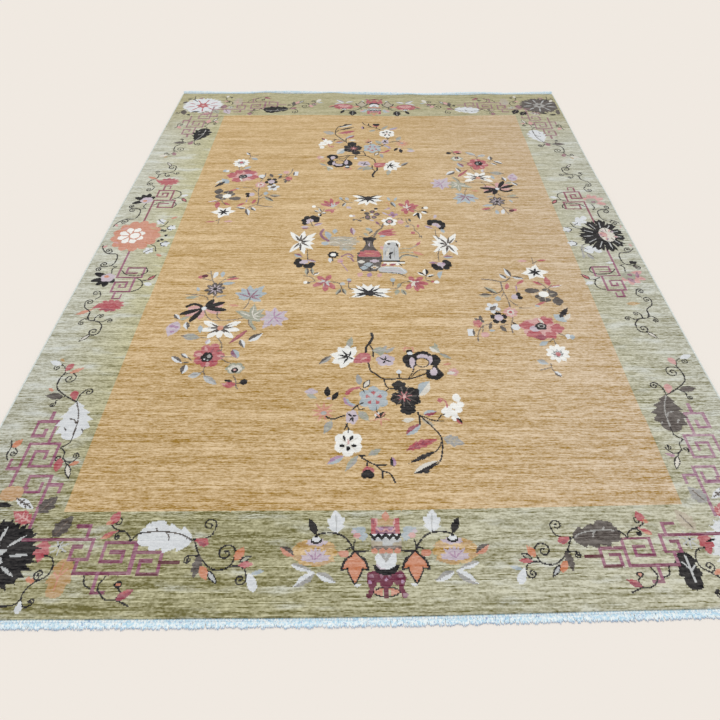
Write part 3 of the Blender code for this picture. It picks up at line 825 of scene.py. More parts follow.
# the medallion: a wreath of daisies and blossoms round a vase, a book and other treasures
medallion = """
star snow spear 3.2 .2 40 -9 43.6 -8.4 37.4 -5.8 33.6 -.8 33 5.8 33.8 9 38.2 9.2 43.8
star ink spear 1.3 .2 41 -6.6 44.4 -7.2 40.4 -5.2 36.6 0 36 4.6 36.6 7.8 40 6.8 44.8
scallop ink .2 40.6 2.3 2.4 5 .2
star snow spear 3.2 .6 -40.4 -8.8 -37.6 -6 -35.2 -2.4 -34 1.8 -34 6 -34.6 11.6 -37.6 11 -39.8 11.4 -43.8
-8.6 -44.2 -8 -40.4
star ink spear 1.1 .6 -40.6 -6.6 -37 -3.6 -36 3.4 -35.8 6.8 -36.4 9 -40.8 8.8 -43.9 -6.8 -43.8 -6.8 -41.6
scallop ink .8 -40.8 2.8 2.1 5 .2
star snow leaf 3.3 -34.6 -1.8 -41 7.6 -33.4 8.2 -27 6.6 -27.2 1.8 -27.4 -3 -27.8 -7.8 -32 -11.8 -39.8
-10.6
star umber spear 1.2 -34.8 -1.6 -38.2 4.8 -34.6 5.4 -31.2 4.6 -29.6 -.4 -29.6 -5.6 -34.2 -10 -38.2 -7.6
disc ink -32.8 -1.3 .8
disc snow -35 -1.8 .7 1.1
star snow leaf 3.3 41.2 -3.2 34 5.2 38.2 6.2 46.6 6.8 33 .4 32.6 -3 33.4 -9.4 38.2 -12.4 45.8 -12.2 46.4
-8
star umber spear 1.2 41.2 -3.2 37 3.4 42.4 3.6 45.6 2.8 36.2 -1.4 36.6 -6 40 -10.8 44.6 -10.2
disc ink 38.4 -2.2 .8
disc snow 41.6 -3 .7 1.1
disc umber 46 -.4 .6
dots black 1.75 -32.9 20.4 -34.2 17.8 -33.6 15.4 -29.8 21 -27.7 20 -27.7 17.8 -29.3 18.4
disc lilac -31.2 17.8 1.9 1.5
disc lilac -32.2 15.9 1.1
stem umber .4 -31 17.6 -30.2 15 -29.2 12.4
dots black 1.75 33.8 17.8 33.7 15.8 36.4 18 38.7 17.3 40.2 15.4 40.2 13.4 39.4 11.9
disc lilac 36.4 14.9 1.9 1.4
disc lilac 38 13.4 1.3
disc mauve 37 14.2 .7 .5
dots black 1.7 -34.6 -16.8 -35.2 -18.8 -33.8 -20.8 -32.6 -19 -30.2 -21.2 -27.8 -19.9 -28.6 -21.3
disc lilac -31.5 -17.9 2 1.6
disc lilac -33 -18.4 .9
dots black 1.7 33 -20.4 33.9 -22.2 35.8 -22.3 38.8 -22 40 -20 39.8 -18.3 38.7 -17.4
disc lilac 36.4 -19.3 2.1 1.6
disc mauve 37.6 -18.7 .8 .6
blade lilac 36.2 -19.4 37 -22.6 1
star rose petal 2.3 -19.8 31.4 -26.4 34.4 -24.6 37.4 -20.8 40 -16 37
star silver spear 1 -19.4 30.6 -20.6 36 -18 36.2 -16.6 34.4 -22 33.2
blade rose -24 27.2 -17.6 28.8 2.2
blade rose -19 28.4 -19.8 25 1.9
stem bark .4 -17 31.2 -16 31.2
star deepRose spear .7 -20.4 31.6 -25 33.8 -23.6 36.2 -20.8 37.6
star rose petal 2.5 21.8 31.2 22.6 39.6 17.4 35.8 28.6 34 27.4 30.8 26 35.6 25.8 27 21 24.8 18.8 28
star cream spear 1.1 21.8 30.8 22 36 19.4 33.6 24.4 33.4 22.6 28.4
star deepRose spear .7 22.2 31 25.8 33 25.6 31 24.6 28 21.2 27
star rose petal 2.8 -20 -32.6 -24.4 -29 -18 -28 -26.2 -36.4 -20 -40.2 -15.4 -38.2
star silver spear 1.1 -20 -33 -22.6 -31.4 -17 -33 -18 -36.4 -21 -36.6 -24 -33.4
star deepRose spear .8 -20.4 -33 -24.4 -35.6 -20.2 -38 -19 -29.6
star rose petal 2.7 22.4 -32.4 20 -28.6 26.6 -29.2 29 -34.4 26.6 -37.8 23.6 -39.6 18.2 -38.2
star cream spear 1.3 21.8 -32.8 19.6 -31.4 25 -32.2 20.8 -36.4 23 -36.6
star deepRose spear .8 22.8 -32.8 27.4 -34.2 25.4 -36.4 23.4 -38 24.8 -29.8
blade lilac -35.8 12 -31 12 1.8
blade plum -35.2 10.5 -31.2 10.6 1.3
split plum lilac -28.8 13.2 -24 15.8 2.4
split plum lilac 30.4 13.8 35 11.2 2
blade sky 39.4 10.6 40.4 7 2.2
blade lilac 37.4 24.4 36.2 20.2 1.8
split plum sky -37 -11.6 -32.8 -14.2 2.8
split plum lilac -30.4 -16.2 -25.2 -18 1.8
split plum sky 38 -13.4 43.2 -13.6 2.4
split mauve plum 30.4 -18 35 -18 1.6
split cream umber -29.6 27.6 -26.4 25.6 1.8
split umber cream -27 29.6 -25.6 26 1.6
split umber white -22.6 25.4 -25.6 24.8 1.6
split ink snow -26.4 25 -25.8 21.4 2
stem bark .4 -24 29 -25.6 25 -26.4 22
stem bark .35 -28.8 31.2 -26.8 30.4
disc snow -30 31.4 1.2
blade ink 30 28.2 33.6 26.4 1.5
blade snow 29.6 27.2 32.6 25.4 1.6
split snow ink 28.4 26.6 28.6 19.6 2.6
split snow ink 25 22.8 27.8 26.8 2
stem bark .4 25.4 29.8 27.8 27.8 30 28.2
disc ink 30.7 31 .8
disc snow 32.5 31.2 1.3
split umber sage -30 -22.6 -29.4 -28.4 2.2
split sage umber -27.6 -22.6 -26.6 -28 1.8
split snow umber -23.6 -26 -26.6 -28.4 1.6
stem bark .45 -30.8 -28.6 -27.4 -29.6 -25.4 -32.2
stem bark .4 -28 -33.4 -25 -32.6
disc umber -28.4 -33.8 .8
disc snow -29.8 -33.6 1
split ink snow 28.2 -22.8 28.2 -28 3
split ink snow 24.2 -25.2 27.8 -28.2 1.8
split snow ink 28.4 -28.6 32.6 -27.6 1.9
stem bark .4 28.2 -27.6 28 -31.4
stem bark .4 28 -31.4 30.4 -32.4
disc rose 31.2 -32.6 .8
disc snow 33 -33 1.3 1.1
blade sky 36.6 -24.6 34.8 -30.6 2.2 leaf -.15
blade sky -15.8 41.6 -14.4 38.2 2
blade silver -12.4 41.4 -10.8 38 2.2
split umber silver -14 32 -12.2 36 2.2
stem umber .45 -15 39.6 -12.4 36.6 -8.4 36.2
blade lilac -12 31.6 -8.8 30.2 2.2
blade sky 11.2 42 12.8 38.4 1.8
blade sky 16.6 42 15 38.2 1.6
split sky umber 13.2 37.4 15.6 31.8 2.4
stem orange .4 10 36.6 11.6 36 12 33.8
blade mauve 10.6 30.8 13 31 1.2
blade lilac 9 29.6 12.6 29.8 1
stem umber .45 -18.6 -33 -15 -33.4 -13.2 -34.6 -12.2 -38
disc silver -12 -34.4 1.3 1.1
split umber sage -12.6 -38 -15 -42.4 2
split sage umber -11.8 -37.6 -10.2 -42.2 2
disc sky -9 -31.4 1.2 1
disc plum -8.9 -32.8 .9 .6
stem umber .4 -9 -33 -9 -37 -7 -38.4
blade sage 15.6 -33.6 14 -37 2
blade sage 14.4 -38 13 -42.2 2.2
blade sage 15.8 -38 18 -42.2 2.2
stem umber .35 16.6 -39 17.6 -41.4
stem bark .45 20.6 -32.4 16.6 -33.2 14.4 -37 10.6 -37.8
disc sky 12 -31.2 1.2 1.5
stem bark .4 12.2 -33 12 -36
stem umber .4 -30.6 -8 -30.4 -12 -29.8 -16.6
stem umber .5 35.8 10.6 36 5 37.4 1.6
stem umber .45 36.6 -7 35.5 -12 35.5 -16.6
scallop cloud -13.4 -.6 9.4 4.2 9 .22
stem grey .4 -21 .6 -17 2.8 -13 3.4 -9.4 2.8 -6 3.2
stem grey .4 -20.6 -3.6 -16.4 -4.4 -12 -4.6 -7.6 -3.9
stem grey .4 -15.4 -.4 -12 .4 -8.4 -.8
scallop cloud -10.6 -6.4 4.4 2.4 5 .3
disc sky -22 -2.6 1.9 1.6
disc sky -11.6 -7.2 1.2 .9
stem cream .5 -20.6 -2.4 -17.4 -1.2 -14.6 -2.2
stem cream .5 -17.4 .8 -14 2 -10.8 .8 -8 1.8
stem cream .5 -13 -3.4 -9.6 -2.2 -6.4 -3.2
ring sage .5 -11.4 -.4 2.2 1.1
ring sage .5 -10.4 -6 1.8 .9
blade sky -17.2 10.4 -17.4 5.8 2.8
blade sky -22.4 8 -20.2 .8 3.2 leaf .1
stem plum 1.5 -23.6 9.6 -24.6 5.8 -23.4 2.4 -20.4 -.4
split lilac plum -8.4 11.8 -7.4 5 2.8
bloom black drop -17.4 -12 2.9 9 1.5 22
disc snow -17.4 -12 1.4
blade white -19 -14.4 -18.6 -18.6 1.8
blade umber -17.6 -14.8 -17.4 -17.6 1
stem plum .9 -13.2 -13.4 -10.6 -11.3 -8.6 -11.6 -7.4 -13.4
stem plum .9 -8.8 -13.8 -7.8 -15.4 -7 -17
blade lilac -11 -12.8 -8 -14.2 .9
scallop blush -13.6 -16.8 1.6 2 5 .3
disc mauve -13.2 -17.4 .6
stem mauve .5 -13 -18.6 -11.6 -21.4 -9.8 -24.8
disc umber .9 -14.8 6.4 9.2
turned umber .9 -24.4 3.4 -22.4 4.9 -19.4 5.8
turned umber .9 -7.2 3.6 -4.4 2.3 -1 2.1 2.8 3.7
scallop ink .8 1.8 3.8 1.9 5 .3
blade ink -.8 -3 -.8 2 .8
blade ink 2.4 -3 2.4 2 .8
blade lilac .8 -5 .8 -1 .6
turned rose .9 -13.2 5 -12.4 5.8 -10.6 5.2 -8.6 4.6 -8 2.6
blade coral -2 -10.4 4 -10.8 1
disc umber -2.8 -8.4 1.2 .7
disc umber -4.6 -10.6 .7 .8
stem ink .5 -5 -14.2 -2 -14.8 1 -14.2 4 -14.8 6.8 -14
scallop cream -3.2 -17.4 1.9 1.3 4 .3
scallop lilac 3.4 -16.6 2.4 1.2 4 .3
scallop sky .4 -19.4 2.4 1.6 4 .3
scallop cream 3.4 -21.6 1.9 1.4 4 .3
disc amber 3.4 -21.8 .8
scallop sky -1.8 -22 2 1.5 4 .3
stem ink .5 -2.6 -24.3 1 -24.6 4.6 -24.3
stem ink .4 1.4 -23.4 1.4 -21 2.2 -19.6
stem bark .9 3.2 3.4 5.4 9.2 7.4 11.6 8.4 15.6
stem bark .5 1.4 3.6 3.6 6.6 5 9.4
stem bark .5 -4.4 4 -2 3.2
blade plum 4.4 18 6.4 14.6 1.5
stem bark .5 6.2 14.8 7.4 13.4
star rose leaf 2.8 5.2 6.4 14.6 11.2 15.4 8.4 15.6 5.6
blade deepRose 7 7 12.6 9.4 .9
blade sky 6 4 9.8 4.8 1.8
split sky sage -1 11.8 2.8 8 2.6
blade umber 2.8 9.4 .4 6.2 1
blade sage -2 7 .4 4.4 1.8
dots snow 1.6 11.9 20.4 9.2 18.7 10.2 15.7 13.7 15.7 14.4 18.5
disc umber 11.8 17.8 2.1
disc blush 11.8 17.8 1.2
disc rose 11.8 18 .6
dots umber 1.5 0 22.4 .2 20.9 -.4 25.4 2.6 27.2 5.2 24.8 3.6 21.8
dots plum .7 0 22 2.6 27 5 24.8 3.4 22
disc cream 2.3 24.4 1
blade lilac 1 19.4 3.8 18.6 1.4
star mauve petal 2 13.9 24.2 11.2 24.2 13.4 27.4 16.8 24.9 14.2 21.6
disc plum 13.9 24.2 1.1
blade lilac 8 26.8 11.2 24 1.5
disc black -2.9 28.6 .9 .8
disc snow -1.7 28.5 .5
disc ink 4.6 30.2 1.1 .9
disc cream 4.7 28.8 .6
disc snow -9 22.8 1.1
disc lilac -7.5 22.8 .7
dots umber .7 -3.8 18.3 -2.4 21.3 -7.4 19
stem bark .4 -7.4 19.6 -4.6 19.8 -2.6 21.4
blade umber -5.6 18 -3 19 1
scallop blush 17.8 17.4 1.8 2 5 .3
stem bark .4 15.6 20.4 18 20.9 18.9 19
blade umber 22.4 21 23.2 17.4 1.3
disc grey 21.4 13.6 1.3 1.1
blade plum 20.6 13 22.2 13.8 .8
stem bark .45 20.8 20.4 21.6 16.2 24.6 13.8 25 10 26.6 7.8 27.4 5 27 3.4
blade umber 28 5.2 28.4 2.6 1
blade rose 27 15.2 27 12 1.5
panel rose 22.8 8.4 25 8.6 25 6.6 22.8 6.6
blade rose 24.8 -4.4 27.4 0 1.6
stem grey .5 21 -6.6 23 -5.4 25.4 -3.4
stem sage .5 16.6 -7 19 -6 21.6 -6.4
blade coral 22.8 -8.8 28.4 -12 2.2
blade blush 6.4 -4.4 9.6 -8 2.4
stem sage .9 16 -15 17.4 -12.8 20.6 -12 25 -13.6
stem umber .4 15.4 -15.4 17.4 -12.2 20.6 -11.4 25 -13
stem sage .6 16 -10.2 19.6 -9.4 23 -9.6
panel silver 7.6 -16 8 -6 15.6 -6 15.6 -16
disc silver 11.8 -6 3.8 6.2
scallop snow 12.6 -1.6 3.9 2.4 6 .1
disc silver 12.9 -2.8 2.7 2
disc umber 10.9 -2.3 1 .8
stem snow .7 15 .4 16.4 -1.8 16.2 -5
blade ink 14.6 -1 15.8 -6 .9
blade cream 9.4 -13 11 -6 1.4
blade grey 13.4 -14 13.8 -5 1
blade grey 8.8 -12 9.2 -8 .8
dots grey .35 10.4 -5 12.2 -6.4 10.2 -8.4 14.6 -9 12.4 -12.6 9.8 -14 14.4 -3.6
blade ink 11.4 -15.2 11.3 -11 1
blade ink 10.6 -11.4 13 -9 1.7
rod ink 1 6.8 -16.5 15.4 -16.5
rod ink .7 15 -17.2 18.4 -17.2
rod snow .8 8.4 -18 18 -18
blade deepRose 6.6 -20.4 9.6 -18.8 1.9
blade deepRose 10.8 -20 14.2 -18.8 1.9
disc snow 10.2 -19 .7
disc snow 14.8 -19.2 .8
blade silver 5 -23 19.4 -25.4 5.4 strap .04
stem white .6 7.4 -22 12 -21.6 16 -21.8 18.2 -25
stem lilac .5 7 -24.2 12 -24.2 16.4 -25.6
stem umber .4 5.6 -25.4 11 -25.6 15.2 -26.4 18.4 -28.6
stem ink .4 15.6 -18.4 17 -20.6
blade blush -4.6 -28.8 -2.6 -25.6 2.8
blade mauve .2 -29 1.6 -25.6 2.6
blade blush 4.8 -28.8 6.8 -26.2 2.4
"""

# a quarter's arm along the end: key fret, broad leaf and tendrils
endArm = """
rod fret 1.15 -111 -159.4 -88.4 -159.4 -88.4 -165.8 -94 -165.8 -94 -161.8 -91.6 -161.8
rod fret 1.15 -94.8 -155 -91 -155 -91 -159.4
rod fret 1.15 -91.3 -165.8 -91.3 -170.3 -74.3 -170.3 -74.3 -160.5 -84.2 -160.5 -84.2 -166.7 -77.8 -166.7
-77.8 -163.6 -81.4 -163.6
rod fret 1.15 -74.3 -163.8 -65.6 -163.8 -65.6 -170.5 -71.6 -170.5 -71.6 -166.4 -68.6 -166.4
rod fretDeep .8 -71.6 -170.7 -65.6 -170.7
rod fretDeep .9 -65.6 -166.8 -59.8 -166.9
rod fret 1.15 -83.8 -170.3 -83.8 -176 -80.4 -176
blade bigLeaf -57 -159.8 -74.6 -158.4 9.2 strap 0 4
scallop bigLeaf -69 -156 4.2 3 5 .2
stem bigVein .35 -57 -160 -60 -158.3 -64 -157.3 -69 -157 -73 -157.3
stem bigVein .3 -65.8 -157.3 -64.8 -158.4 -64.4 -159.6
stem bigVein .3 -68.6 -157 -69.4 -155.8
stem ink .45 -55.6 -160.2 -57.6 -159.6
stem ink .45 -72.8 -157.2 -75 -158 -76.6 -160.2
tendril ink .45 2 -1 -76.6 -160.2 -77.4 -158.4 -79.4 -156.9 -82 -156.2 -83.4 -155.4
tendril ink .4 1 1 -80 -156.8 -81.4 -157.2 -82 -158.2
blade rose -84.4 -154.4 -82.8 -149.8 3.2
blade coral -86.2 -154.4 -84.2 -153.4 1.6
blade rose -86.2 -159 -81.4 -156.6 1.8
blade coral -86 -159.2 -83 -158 1
tendril ink .5 2.3 1 -56.4 -159.6 -53 -159.4 -50.8 -158 -50 -155.4
tendril ink .55 3.3 1 -56.2 -160 -53.4 -165.2 -48.8 -169.2 -44 -168.6 -42.4 -165.4
tendril ink .5 1.3 1 -53.6 -165.2 -55.4 -164.8 -57.2 -165
tendril ink .5 1.9 -1 -43.6 -168.4 -41 -168.2 -38.8 -169.4 -38 -171.8
edged silver ink -50.4 -169.4 -46.6 -173.8 2
blade umber -53.4 -164.8 -54.2 -172 3.4 leaf 0 4
blade orange -52.6 -168 -50 -172.6 2.6
blade rose -56 -159.6 -51.4 -161.2 2.8 petal
blade deepRose -55 -160.6 -51.4 -161.8 1
blade orange -42.2 -166.6 -40 -162.2 3
edged sage ink -41 -167.2 -37.2 -165 2
blade rose -41 -168 -36.2 -167.6 1.9
blade white -37.6 -170.2 -35 -176 3 petal
blade sky -36.8 -170.8 -32.6 -169.6 1.5
stem ink .5 -87.6 -171 -86.6 -173.6 -84.6 -174.7
stem ink .5 -81 -171.2 -82.4 -174.4 -79.4 -177.8 -75.4 -178.2 -71.8 -179.8
stem ink .5 -76 -178 -75.2 -176 -76.4 -174.6
disc ink -76.5 -173.6 1.3 1.1
disc coral -76.5 -173.6 .7 .5
blade deepRose -76 -178 -71.2 -175 2.4
blade rose -75 -176.4 -71.8 -175 1
"""

# a corner's lotus and the leaves about it
corner = """
bloom lotus petal -119 -165 12 9 8 4 0 1.18 4
bloom lotus spear -119 -165 13.2 32 2.8 4 6 1.18
bloom lotusVein leaf -119 -165 10.4 9 1 4 4.6 1.18
bloom lotusHeart leaf -119 -165 5.2 7 2.6 30
disc blush -119 -165 1.2
blade cornerLeaf -102 -158.8 -97.8 -151.2 5.6 leaf 0 4
stem bark .3 -101.6 -158 -99 -153.4
bloom silver strap -98.6 -161.8 3.2 7 .5 20
disc ink -98.8 -161.6 .4
disc ink -97.2 -163.4 .35
blade rose -103.8 -159.6 -103.4 -166.8 5 leaf 0 3
veined rose blush -110.8 -153.6 -118.2 -149.8 4.8 0 3 2
blade goldLeaf -94.7 -165.4 -94.8 -177.6 7.2 strap 0 3
stem goldVein .35 -95.2 -175 -95.2 -167
stem goldVein .3 -95.2 -171 -93.4 -169
stem goldVein .3 -95.2 -172 -97 -170
tendril ink .5 1.8 -1 -102.4 -164.5 -99.8 -165.2 -98.2 -167.8 -98.8 -170.8 -100.6 -172
stem ink .5 -100.4 -172 -102.8 -173.6 -104 -176 -103.9 -178
tendril ink .5 1 1 -104 -177.4 -103 -179.5 -101.4 -180 -100.2 -179.2
stem ink .5 -103.9 -177.6 -105.4 -179.3 -109.4 -179.7
blade orange -105.2 -171.4 -101.8 -173 1.6
blade white -103.8 -178.2 -103.4 -182 2 petal
blade black -107.2 -161.8 -103.6 -162.6 .8
blade umber -131.4 -157.6 -129.2 -149.6 4
tendril ink .5 1.8 1 -129 -158 -131.8 -155.6 -133.6 -152
blade black -128 -150.2 -122.6 -149.2 2.2
blade umber -134 -168.4 -131.8 -172.4 2.8
blade white -130.4 -174.4 -127.6 -170.6 2.4
stem ink .6 -124.2 -171.4 -126.8 -174.8 -127.4 -180.6
tendril ink .5 1.4 -1 -126.6 -174 -129.6 -176.6
blade rose -124 -176 -121 -178.4 2.2
blade coral -133.6 -163.8 -134.2 -159.6 1.8
"""

# a quarter's arm along the side
sideArm = """
rod fretSide 1.15 -120 -109.4 -120 -113.6
rod fretSide 1.15 -117 -123.4 -117 -113.6 -124 -113.6 -124 -120 -120 -120 -120 -117.2
rod fretSide 1.15 -117.4 -141.2 -123.4 -141.2 -123.4 -123.4 -112.8 -123.4 -112.8 -132.8 -120.2 -132.8
-120.2 -126.6 -116 -126.6 -116 -129.4
rod fretSide 1.15 -127.4 -130.2 -127.4 -133.6 -123.4 -133.6
rod fretSide 1.15 -110.6 -136.6 -118 -136.6 -118 -142.6 -112.8 -142.6 -112.8 -139.4
rod fretSide 1.15 -110.6 -136.6 -110.6 -155
rod fretSide 1.15 -110.6 -140 -105.8 -140 -105.8 -142.8
blade bigLeaf -113.2 -104 -109.2 -121.8 12.6 petal 0 5
stem bigVein .3 -113 -112.4 -111 -113 -110 -114.6
stem bigVein .3 -113.6 -116.4 -112.6 -117.6
stem bigVein .3 -107 -117 -106.2 -118.2
stem bigVein .4 -113.2 -104.6 -111 -109 -109.6 -114 -109.2 -120
stem ink .5 -109.1 -119.6 -109.3 -123 -111.8 -125.2
stem ink .55 -113.4 -104.4 -118.4 -101.6 -123.6 -97.4 -124.2 -92.6 -123.2 -89.4
tendril ink .5 2.8 -1 -123.4 -90.6 -122 -89.9 -120.4 -89.8
tendril ink .5 1.6 1 -123.3 -89.8 -123.9 -87.4 -125.6 -85.6 -127.2 -85.2
tendril ink .55 1.8 -1 -113.4 -104.4 -113.2 -101 -111.8 -98.6
tendril ink .5 1.1 -1 -119 -101.6 -121.4 -103.6 -121.2 -105.6
blade umber -119.6 -101.8 -126.8 -101.2 3.2
blade rose -114.4 -103.6 -116.2 -98.8 3.2 petal
blade rose -123.4 -88.8 -121.8 -84.6 3 petal
blade coral -121.4 -89.8 -116.2 -86.8 2
blade coral -124.4 -99 -126.8 -97.6 1.4
blade white -126.4 -85.2 -132 -83.2 2.4
blade amber -128 -81.8 -125.6 -83.8 1.2
stem ink .5 -130.8 -122 -129.8 -124.8 -130 -127.8 -128.8 -130.2
tendril ink .5 1.4 -1 -129.8 -124.6 -128.4 -125.2 -127 -126.4
blade orange -129.4 -125 -126.8 -121.4 2.8
tendril ink .5 1.5 -1 -111.8 -125.2 -109.8 -126.8 -109.4 -129.4
stem ink .5 -109.4 -129.4 -107.6 -131.4 -106 -134
tendril ink .5 1.3 1 -108.2 -130.8 -105.8 -131 -104.2 -129.4
edged cream ink -107.2 -131.6 -104.2 -138 2.2
blade sideBud -110.2 -129.4 -109.8 -135.2 3.2
blade orange -106.2 -132.2 -102.8 -131 1.6
scallop apricot -121.6 -143.2 4.2 3 4 .14 45
blade black -125 -147 -119.2 -147.8 2
veined white umber -119.2 -145 -111.8 -149 2.8 0 0 2
blade sideLeaf -109.8 -150.4 -105.6 -144.4 5.6 leaf 0 3
stem bark .3 -109.2 -149.6 -106.8 -146
"""

# half of what stands about the middle of a side: frets, buds and tendrils
sideCentre = """
rod fret 1 -121 -9 -121 -29.4 -109 -29.4 -109 -22.4 -117.4 -22.4 -117.4 -26.2 -112.4 -26.2
rod fret 1 -112 -30.4 -112 -39.8 -120.6 -39.8 -120.6 -33 -114.8 -33 -114.8 -36.8 -117.8 -36.8 -117.8 -35
rod fret .9 -118.4 -40 -118.4 -44.6 -115 -44.6 -115 -42
stem ink .6 -136 -4 -134.4 -8 -131 -10.9 -127 -11.2 -125.6 -13.4 -125.2 -17
tendril ink .6 2 -1 -125.2 -16.6 -126.2 -20.2 -129.6 -21.4
tendril ink .55 1.6 1 -128 -21.2 -131.8 -21.8
tendril ink .5 1.5 1 -131.4 -10.8 -129.6 -9.4 -130.4 -7.6
blade blush -135.4 -6.2 -133.4 -3.8 1.6
stem ink .55 -120 -24.4 -117 -27.4 -112 -28 -108.6 -27 -107.4 -24.6 -108.8 -22.2
stem ink .55 -110.8 -30.4 -108.4 -32 -107.2 -35 -108 -38 -111 -39.8
stem ink .5 -108.4 -32 -105.4 -31.6
edged rose ink -105.8 -31.8 -102.2 -27.6 2.4
blade white -106.8 -33.8 -102.4 -35.2 2.4
star bloomDark petal 3 -124.6 -29.6 -132.6 -26.2 -132.6 -32.4 -129 -35.2 -125.2 -36.6 -121.4 -33.4
scallop bloomPale -125.2 -29.6 3.6 3.2 5 .2 20
disc bloomEye -126 -28.8 1.3 .9
stem ink .5 -124.4 -26.6 -125 -23 -123.4 -21.4
stem ink .5 -123.4 -21.4 -125.4 -21
scallop sideRose -117.6 -49.4 6.2 4.2 11 .28
blade sideRose -121 -48 -125.6 -51.6 2.2
blade sideRoseDeep -122 -51.8 -114 -52.6 1.2
blade coral -131.4 -55.4 -124.6 -51.8 2.2
tendril ink .55 2 -1 -125.4 -57.4 -125.6 -53.6 -128.8 -50.8 -129.8 -47.6
tendril ink .55 1.8 1 -126 -45.2 -124.4 -43.2 -125.2 -40.4
tendril ink .6 2.7 -1 -125.4 -56.6 -124 -59 -120 -59.8 -117.4 -62.4 -117 -65.8
tendril ink .5 1.3 1 -124.6 -58.4 -126.6 -58.2 -128 -60
tendril ink .5 1.3 -1 -121.8 -59.6 -121.8 -57.2 -120.8 -55.6
tendril ink .5 1.4 -1 -120 -59.8 -117.6 -59.8 -116 -58.4
edged cream ink -120.4 -67.6 -124.2 -72.2 2
stem ink .5 -111.4 -3.4 -109 -5 -107.6 -9
bloom white petal -104.6 -2.8 2.6 5 1.8 20
ring ink .35 -104.6 -2.8 2.2 1.8 60 280
bloom white petal -111.4 -8.4 2.8 5 1.8 50
stem ink .35 -113.4 -10.6 -111.4 -8.4 -109.6 -6.8
blade coral -107 -11 -103.4 -13.4 1.6
"""

# the round peony in the middle of the left side
roundPeony = """
scallop coral -121.4 4.4 12.8 13.6 13 .18
bloom orange spear -121.4 4.4 12.4 13 .7 14 7
blade blush -130.6 9.6 -127 11.8 1.6
blade blush -131.6 -.6 -128 -2.6 1.4
blade apricot -116 12 -111.6 9.6 1.6
bloom snow petal -123.8 4.4 7.2 8 3.9 22
bloom coral spear -123.8 4.4 7.4 8 .8 0
disc coral -122 4.4 3.3
disc snow -122 4.4 2.5
dots ink .9 -107.4 8.6 -109 9.2 -105.8 4.6 -107 .8 -108.6 -.2
"""

# the dark aster in the middle of the right side
sideAster = """
star white petal 3.4 116 17.4 119.4 21 113.4 19.6 112.8 16.2 118 14.6
star white petal 3.6 115 -8.6 119.4 -10.8 112 -11.6 112.4 -6.4 117.8 -6.2
aster black silver 4.4 124.4 4 111.2 3 113.2 9.6 119 16 126 17.8 131.8 13.6 134.8 7 134.8 .4 131.6 -6.4
125 -11 117.6 -9.4 112.4 -3.6
disc cream 126.2 3.8 4 6.2
disc blush 124.4 4 1.9 2.4
bloom umber strap 126.6 3.8 6 9 .5 10 2.6
bloom mauve strap 126.6 3.8 5 5 .6 40 3
bloom blush strap 126.6 3.8 5.2 4 .9 64 2.8
stem grey .9 110.6 -5 109.6 -9 109 -13
blade grey 109.6 -12.6 108.2 -16.4 1.6
blade grey 111 -12.2 113.6 -17.4 2
stem umber .4 110.4 -10.6 113.8 -14.8
blade black 130.2 -20.8 134.6 -19.2 2.2
blade umber 131.2 -22.6 133.4 -24.4 1.8
blade white 118.6 -20 122.6 -19.6 1.6
blade fretPale 130.4 -32 131.6 -27 2
blade fretPale 125.6 -31.6 128.4 -35.8 2.4
blade gold 119 -50.2 125.6 -50 2.4
"""

